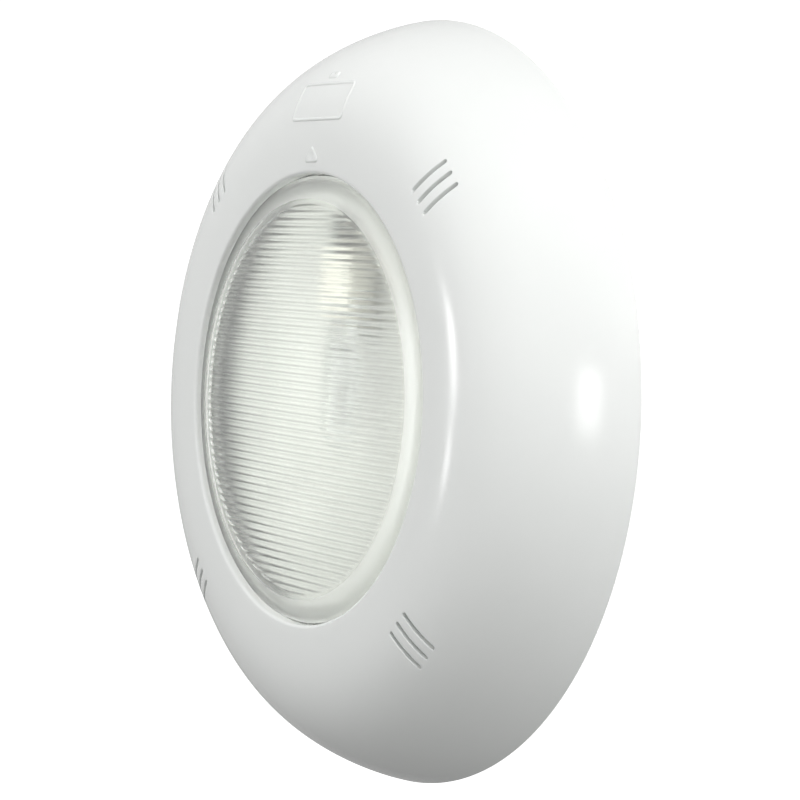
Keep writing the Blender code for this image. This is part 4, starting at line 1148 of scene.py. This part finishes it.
flute_sizes = {"Pitch": flute_pitch, "Depth": flute_depth}
flute_tree, given, result = tree_with_inputs("flutes", flute_sizes)
where = wired(flute_tree, "GeometryNodeInputPosition")
parts_of = wired(flute_tree, "ShaderNodeSeparateXYZ", {"Vector": where.outputs["Position"]})
turns = arithmetic(flute_tree, "DIVIDE", parts_of.outputs["Z"], given.outputs["Pitch"])
phase = arithmetic(flute_tree, "MULTIPLY", turns, math.pi)
ridge = arithmetic(flute_tree, "ABSOLUTE", arithmetic(flute_tree, "SINE", phase))
scoop = arithmetic(flute_tree, "POWER", ridge, 1.3)
marked = wired(flute_tree, "GeometryNodeInputNamedAttribute", {"Name": "flute"}, data_type="FLOAT")
cut_depth = arithmetic(flute_tree, "MULTIPLY", scoop, given.outputs["Depth"])
sink = arithmetic(flute_tree, "MULTIPLY", cut_depth, marked.outputs["Attribute"])
downwards = arithmetic(flute_tree, "MULTIPLY", sink, -1.0)
shift = wired(flute_tree, "ShaderNodeCombineXYZ", {"Y": downwards})
press = wired(flute_tree, "GeometryNodeSetPosition", {
    "Geometry": given.outputs["Geometry"], "Offset": shift.outputs["Vector"],
})
finish_tree(flute_tree, given, result, press.outputs["Geometry"])

# The band is hazy, and the fluted part inside it is clearer.
clear_lens, lens_tree, lens_shader = new_finish("clear_lens", {"Transmission Weight": 1.0, "IOR": 1.58})
tint = wired(lens_tree, "ShaderNodeMix", {
    "A": (0.945, 0.970, 0.925, 1), "B": (0.955, 0.975, 0.935, 1),
    "Factor": spread(lens_tree, object_noise(lens_tree, 40, 4.0), 0, 1),
}, data_type="RGBA")
lens_tree.links.new(tint.outputs["Result"], lens_shader.inputs["Base Color"])
clear_part = wired(lens_tree, "ShaderNodeAttribute", attribute_name="clear")
frosting = wired(lens_tree, "ShaderNodeMapRange", {
    "Value": clear_part.outputs["Fac"], "To Min": 0.34, "To Max": 0.15,
})
lens_tree.links.new(frosting.outputs["Result"], lens_shader.inputs["Roughness"])
fluted_lens = mesh_from_tree(flute_tree, plain_lens, flute_sizes, clear_lens)
lens = made_piece("fluted_lens", fluted_lens, clear_lens, "head", "clear_lens", "lens", smooth=60)
lens.visible_shadow = False


# ======================== bezel
# The white trim: a thin ABS dome that pushes over the housing's rim on three clip arms. Water enters
# by twelve round-ended slots. A blank frame, an up arrow and a short bar are moulded proud of its face.
bezel_low, bezel_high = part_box("bezel")
bezel_radius = bezel_high.x
bezel_height = -bezel_low.y
rim_lift = -bezel_high.y
opening_radius = 0.0730
lip_round = 0.0012
lip_foot = bezel_height - 0.0042
lip_wall = 0.0022
bezel_wall = 0.0026
slot_inner, slot_outer = 0.0900, 0.1038
slot_width = 0.0014
slot_pitch = 0.00484
slot_edge = 0.00028
edge_round = 0.0003
flat_start = opening_radius + lip_round


def bezel_top(radius):
    """Height of the dome's outer face: nearly flat by the lens, and steep at the rim."""
    reach = (radius - opening_radius) / (bezel_radius - opening_radius)
    return np.maximum(bezel_height * np.maximum(0.0, 1 - reach ** 3.2) ** (1 / 1.2), rim_lift)


# The dome's section is read at even steps along its curve, and the plan is drawn on that length.
fine = flat_start + (bezel_radius - flat_start) * np.sin(np.linspace(0, math.pi / 2, 4001))
fine_heights = bezel_top(fine)
lengths = np.concatenate(([0.0], np.cumsum(np.hypot(np.diff(fine), np.diff(fine_heights)))))
section_length = float(lengths[-1])


def along_section(length):
    """Radius, height and outward slope of the dome at a length along its section."""
    radius = float(np.interp(length, lengths, fine))
    height = float(np.interp(length, lengths, fine_heights))
    step = 0.0002
    ahead, behind = min(length + step, section_length), max(length - step, 0.0)
    run = float(np.interp(ahead, lengths, fine) - np.interp(behind, lengths, fine))
    fall = float(np.interp(ahead, lengths, fine_heights) - np.interp(behind, lengths, fine_heights))
    size = math.hypot(run, fall)
    return radius, height, -fall / size, run / size


def flattened(x, z):
    """A point of the plan, moved so that distances along the dome's section stay true."""
    radius = math.hypot(x, z)
    spread_radius = flat_start + float(np.interp(radius, fine, lengths))
    return Vector((x, z)) * (spread_radius / radius)


def filled_in(outline, spacing):
    """A closed outline with its long sides broken into short ones."""
    filled = []
    for (x, y), (next_x, next_y) in zip(outline, outline[1:] + outline[:1]):
        pieces = max(1, round(math.hypot(next_x - x, next_y - y) / spacing))
        filled += [(x + (next_x - x) * i / pieces, y + (next_y - y) * i / pieces) for i in range(pieces)]
    return filled


def round_ended(length, width, grow, steps=10):
    """The outline of a slot with round ends, grown by an amount all round."""
    radius = width / 2 + grow
    reach = length / 2 - width / 2
    outline = []
    for centre_x, first in ((reach, -90), (-reach, 90)):
        for i in range(steps + 1):
            a = math.radians(first + 180 * i / steps)
            outline.append((centre_x + radius * math.cos(a), radius * math.sin(a)))
    return filled_in(outline, 0.0009)


def rounded_frame(width, height, corner, grow):
    """A rectangle with round corners, grown by an amount all round."""
    half_x, half_y, radius = width / 2 - corner, height / 2 - corner, corner + grow
    outline = []
    for sign_x, sign_y, first in ((1, 1, 0), (-1, 1, 90), (-1, -1, 180), (1, -1, 270)):
        for i in range(7):
            a = math.radians(first + 15 * i)
            outline.append((sign_x * half_x + radius * math.cos(a), sign_y * half_y + radius * math.sin(a)))
    return filled_in(outline, 0.0008)


def arrow_outline(width, height, grow):
    """A plain triangle that points up, with round corners, grown by an amount all round."""
    corners = [Vector((-width / 2, -height / 2)), Vector((width / 2, -height / 2)), Vector((0, height / 2))]
    outline = []
    corner_round = 0.0006
    radius = corner_round + grow
    for i, spot in enumerate(corners):
        before = (spot - corners[i - 1]).normalized()
        after = (corners[(i + 1) % 3] - spot).normalized()
        first = math.atan2(-before.x, before.y)
        swing = math.acos(max(-1.0, min(1.0, before.dot(after))))
        inward = (after - before).normalized()
        centre = spot + inward * corner_round / math.cos(swing / 2)
        for k in range(6):
            a = first + swing * k / 5
            outline.append((centre.x + radius * math.cos(a), centre.y + radius * math.sin(a)))
    return filled_in(outline, 0.0007)


# The plan: a polar mesh, with a hole's outline for each slot and raised contours for each mark.
around = 300
ring_count = 66
clear_gap = 0.0004
plan_points, plan_edges, raised = [], [], []


def add_loop(outline, lift=0.0):
    """Add a closed outline to the plan, and return the numbers of its points."""
    first = len(plan_points)
    for x, z in outline:
        plan_points.append(flattened(x, z))
        raised.append(lift)
    count = len(outline)
    plan_edges.extend((first + i, first + (i + 1) % count) for i in range(count))
    return list(range(first, first + count))


slot_loops, slot_outlines = [], []
for angle in (45, 135, 225, 315):
    turn = math.radians(angle)
    for row in (-1, 0, 1):
        middle_x = (slot_inner + slot_outer) / 2
        middle_y = row * slot_pitch

        def placed_slot(grow):
            outline = round_ended(slot_outer - slot_inner, slot_width, grow)
            return [
                (
                    (middle_x + x) * math.cos(turn) - (middle_y + y) * math.sin(turn),
                    (middle_x + x) * math.sin(turn) + (middle_y + y) * math.cos(turn),
                )
                for x, y in outline
            ]

        slot_loops.append(add_loop(placed_slot(slot_edge)))
        edge_turns = [math.pi / 2 * i / 4 for i in range(1, 5)]
        slot_outlines.append([placed_slot(slot_edge * (1 - math.sin(a))) for a in edge_turns])

mark_lift = 0.00035


def raised_mark(outline_at, place, contours):
    """Draw a moulded mark above the lens, as contours that each have their own growth and lift."""
    for grow, share in contours:
        add_loop([(x, z + place) for x, z in outline_at(grow)], mark_lift * share)


frame_contours = [(-0.00055, 0), (-0.0004, 0.55), (-0.0002, 0.95), (0.0, 1.0)]
frame_contours += [(0.0002, 0.95), (0.0004, 0.55), (0.00055, 0)]
arrow_contours = [(0.00045, 0), (0.0003, 0.5), (0.0001, 0.9), (-0.0002, 1.0)]
bar_contours = [(0.0004, 0), (0.00025, 0.5), (0.0001, 0.9), (-0.0002, 1.0)]
frame_place, arrow_place, bar_place = 0.0964, 0.0792, 0.1052
raised_mark(
    lambda grow: rounded_frame(width=0.0308, height=0.0118, corner=0.0012, grow=grow),
    frame_place, frame_contours,
)
raised_mark(lambda grow: arrow_outline(width=0.0084, height=0.0046, grow=grow), arrow_place, arrow_contours)
raised_mark(
    lambda grow: round_ended(length=0.0050, width=0.0016, grow=grow, steps=8), bar_place, bar_contours,
)

feature_points = np.array([tuple(p) for p in plan_points])
ring_lengths = [section_length * (1 - (1 - i / (ring_count - 1)) ** 1.15) for i in range(ring_count)]
inner_ring, outer_ring = [], []
for i, length in enumerate(ring_lengths):
    spread_radius = flat_start + length
    for k in range(around):
        a = 2 * math.pi * (k + 0.5 * (i % 2)) / around
        spot = Vector((spread_radius * math.cos(a), spread_radius * math.sin(a)))
        gap = np.min(np.hypot(feature_points[:, 0] - spot.x, feature_points[:, 1] - spot.y))
        edge_of_plan = i in (0, ring_count - 1)
        if gap < clear_gap and not edge_of_plan:
            continue
        if i == 0:
            inner_ring.append(len(plan_points))
        if i == ring_count - 1:
            outer_ring.append(len(plan_points))
        plan_points.append(spot)
        raised.append(0.0)
for ring in (inner_ring, outer_ring):
    plan_edges.extend((ring[k], ring[(k + 1) % around]) for k in range(around))

found = delaunay_2d_cdt(plan_points, plan_edges, [], 0, 1e-9)
plan_vertices, plan_faces, original = found[0], found[2], found[3]
source = [ids[0] if ids else None for ids in original]
number_of = {first: new for new, ids in enumerate(original) for first in ids}


def inside_outline(spot, outline):
    """Whether a point of the plan lies inside a closed outline."""
    within = False
    for a, b in zip(outline, outline[1:] + outline[:1]):
        if (a.y > spot.y) != (b.y > spot.y) and spot.x < (b.x - a.x) * (spot.y - a.y) / (b.y - a.y) + a.x:
            within = not within
    return within


holes = []
for loop in slot_loops:
    outline = [plan_points[i] for i in loop]
    middle = sum(outline, Vector((0, 0))) / len(outline)
    holes.append((middle, outline))
kept_faces = []
for face in plan_faces:
    middle = sum((plan_vertices[i] for i in face), Vector((0, 0))) / len(face)
    if middle.length < flat_start:
        continue
    near = [outline for centre, outline in holes if (centre - middle).length < 0.0085]
    if any(inside_outline(middle, outline) for outline in near):
        continue
    kept_faces.append(face)

bezel_work = bmesh.new()
top_points, under_points = [], []
for i, flat in enumerate(plan_vertices):
    length = flat.length - flat_start
    radius, height, out, up = along_section(max(0.0, min(section_length, length)))
    direction = flat.normalized()
    lift = raised[source[i]] if source[i] is not None else 0.0
    face_radius = radius + out * lift
    face_height = height + up * lift
    top_points.append(bezel_work.verts.new((
        direction.x * face_radius, -face_height, direction.y * face_radius,
    )))
    under_radius = max(radius - out * bezel_wall, opening_radius + lip_wall)
    under_height = max(height - up * bezel_wall, rim_lift)
    under_points.append(bezel_work.verts.new((
        direction.x * under_radius, -under_height, direction.y * under_radius,
    )))
for face in kept_faces:
    bezel_work.faces.new([top_points[i] for i in face])
    bezel_work.faces.new([under_points[i] for i in reversed(face)])


def ring_at(radius, height, points):
    """A ring of new points under the same angles as another ring's."""
    ring = []
    for point in points:
        a = math.atan2(point.co.z, point.co.x)
        ring.append(bezel_work.verts.new((radius * math.cos(a), -height, radius * math.sin(a))))
    return ring


lip_section = []
for i in range(1, 7):
    a = math.pi / 2 * i / 6
    lip_section.append((flat_start - lip_round * math.sin(a), bezel_height - lip_round * (1 - math.cos(a))))
lip_back = opening_radius + lip_wall
lip_section += [(opening_radius, lip_foot + edge_round), (opening_radius + edge_round, lip_foot)]
lip_section += [(lip_back - edge_round, lip_foot), (lip_back, lip_foot + edge_round)]
loop = [top_points[number_of[i]] for i in inner_ring]
for radius, height in lip_section:
    ring = ring_at(radius, height, loop)
    bridge(bezel_work, loop, ring)
    loop = ring
bridge(bezel_work, loop, [under_points[number_of[i]] for i in inner_ring])

loop = [top_points[number_of[i]] for i in outer_ring]
for radius in (bezel_radius - edge_round, bezel_radius - bezel_wall + edge_round):
    ring = ring_at(radius, rim_lift, loop)
    bridge(bezel_work, loop, ring)
    loop = ring
bridge(bezel_work, loop, [under_points[number_of[i]] for i in outer_ring])

for loop_numbers, outlines in zip(slot_loops, slot_outlines):
    loop = [top_points[number_of[i]] for i in loop_numbers]
    for step, outline in enumerate(outlines):
        depth = slot_edge * (1 - math.cos(math.pi / 2 * (step + 1) / 4))
        ring = []
        for x, z in outline:
            flat = flattened(x, z)
            height = along_section(flat.length - flat_start)[1]
            ring.append(bezel_work.verts.new((x, -(height - depth), z)))
        bridge(bezel_work, loop, ring)
        loop = ring
    under = [under_points[number_of[i]] for i in loop_numbers]
    for point, (x, z) in zip(under, outlines[-1]):
        flat = flattened(x, z)
        _, height, _, up = along_section(flat.length - flat_start)
        point.co = (x, -(height - up * bezel_wall), z)
    bridge(bezel_work, loop, under)
dome_mesh = mesh_of(bezel_work, "dome", outwards=True)

arms = []
arm_inner, arm_outer = 0.0883, 0.0905
arm_foot, arm_root = 0.0260, 0.0399
arm_angle = math.degrees(0.0130 / arm_inner)
for angle in bayonet_angles:
    start, stop = angle - arm_angle, angle + arm_angle
    arms.append(sector_mesh("arm", arm_inner, arm_outer, arm_foot, arm_root, start, stop))
white_abs = base_finish(
    "white_abs", (0.830, 0.845, 0.832), (0.815, 0.832, 0.818), (0.13, 0.19), mottle=30, grain=0.06,
)
made_piece(
    "bezel_dome", carved(dome_mesh, arms), white_abs, "bezel", "white_abs", "bezel", smooth=38,
)
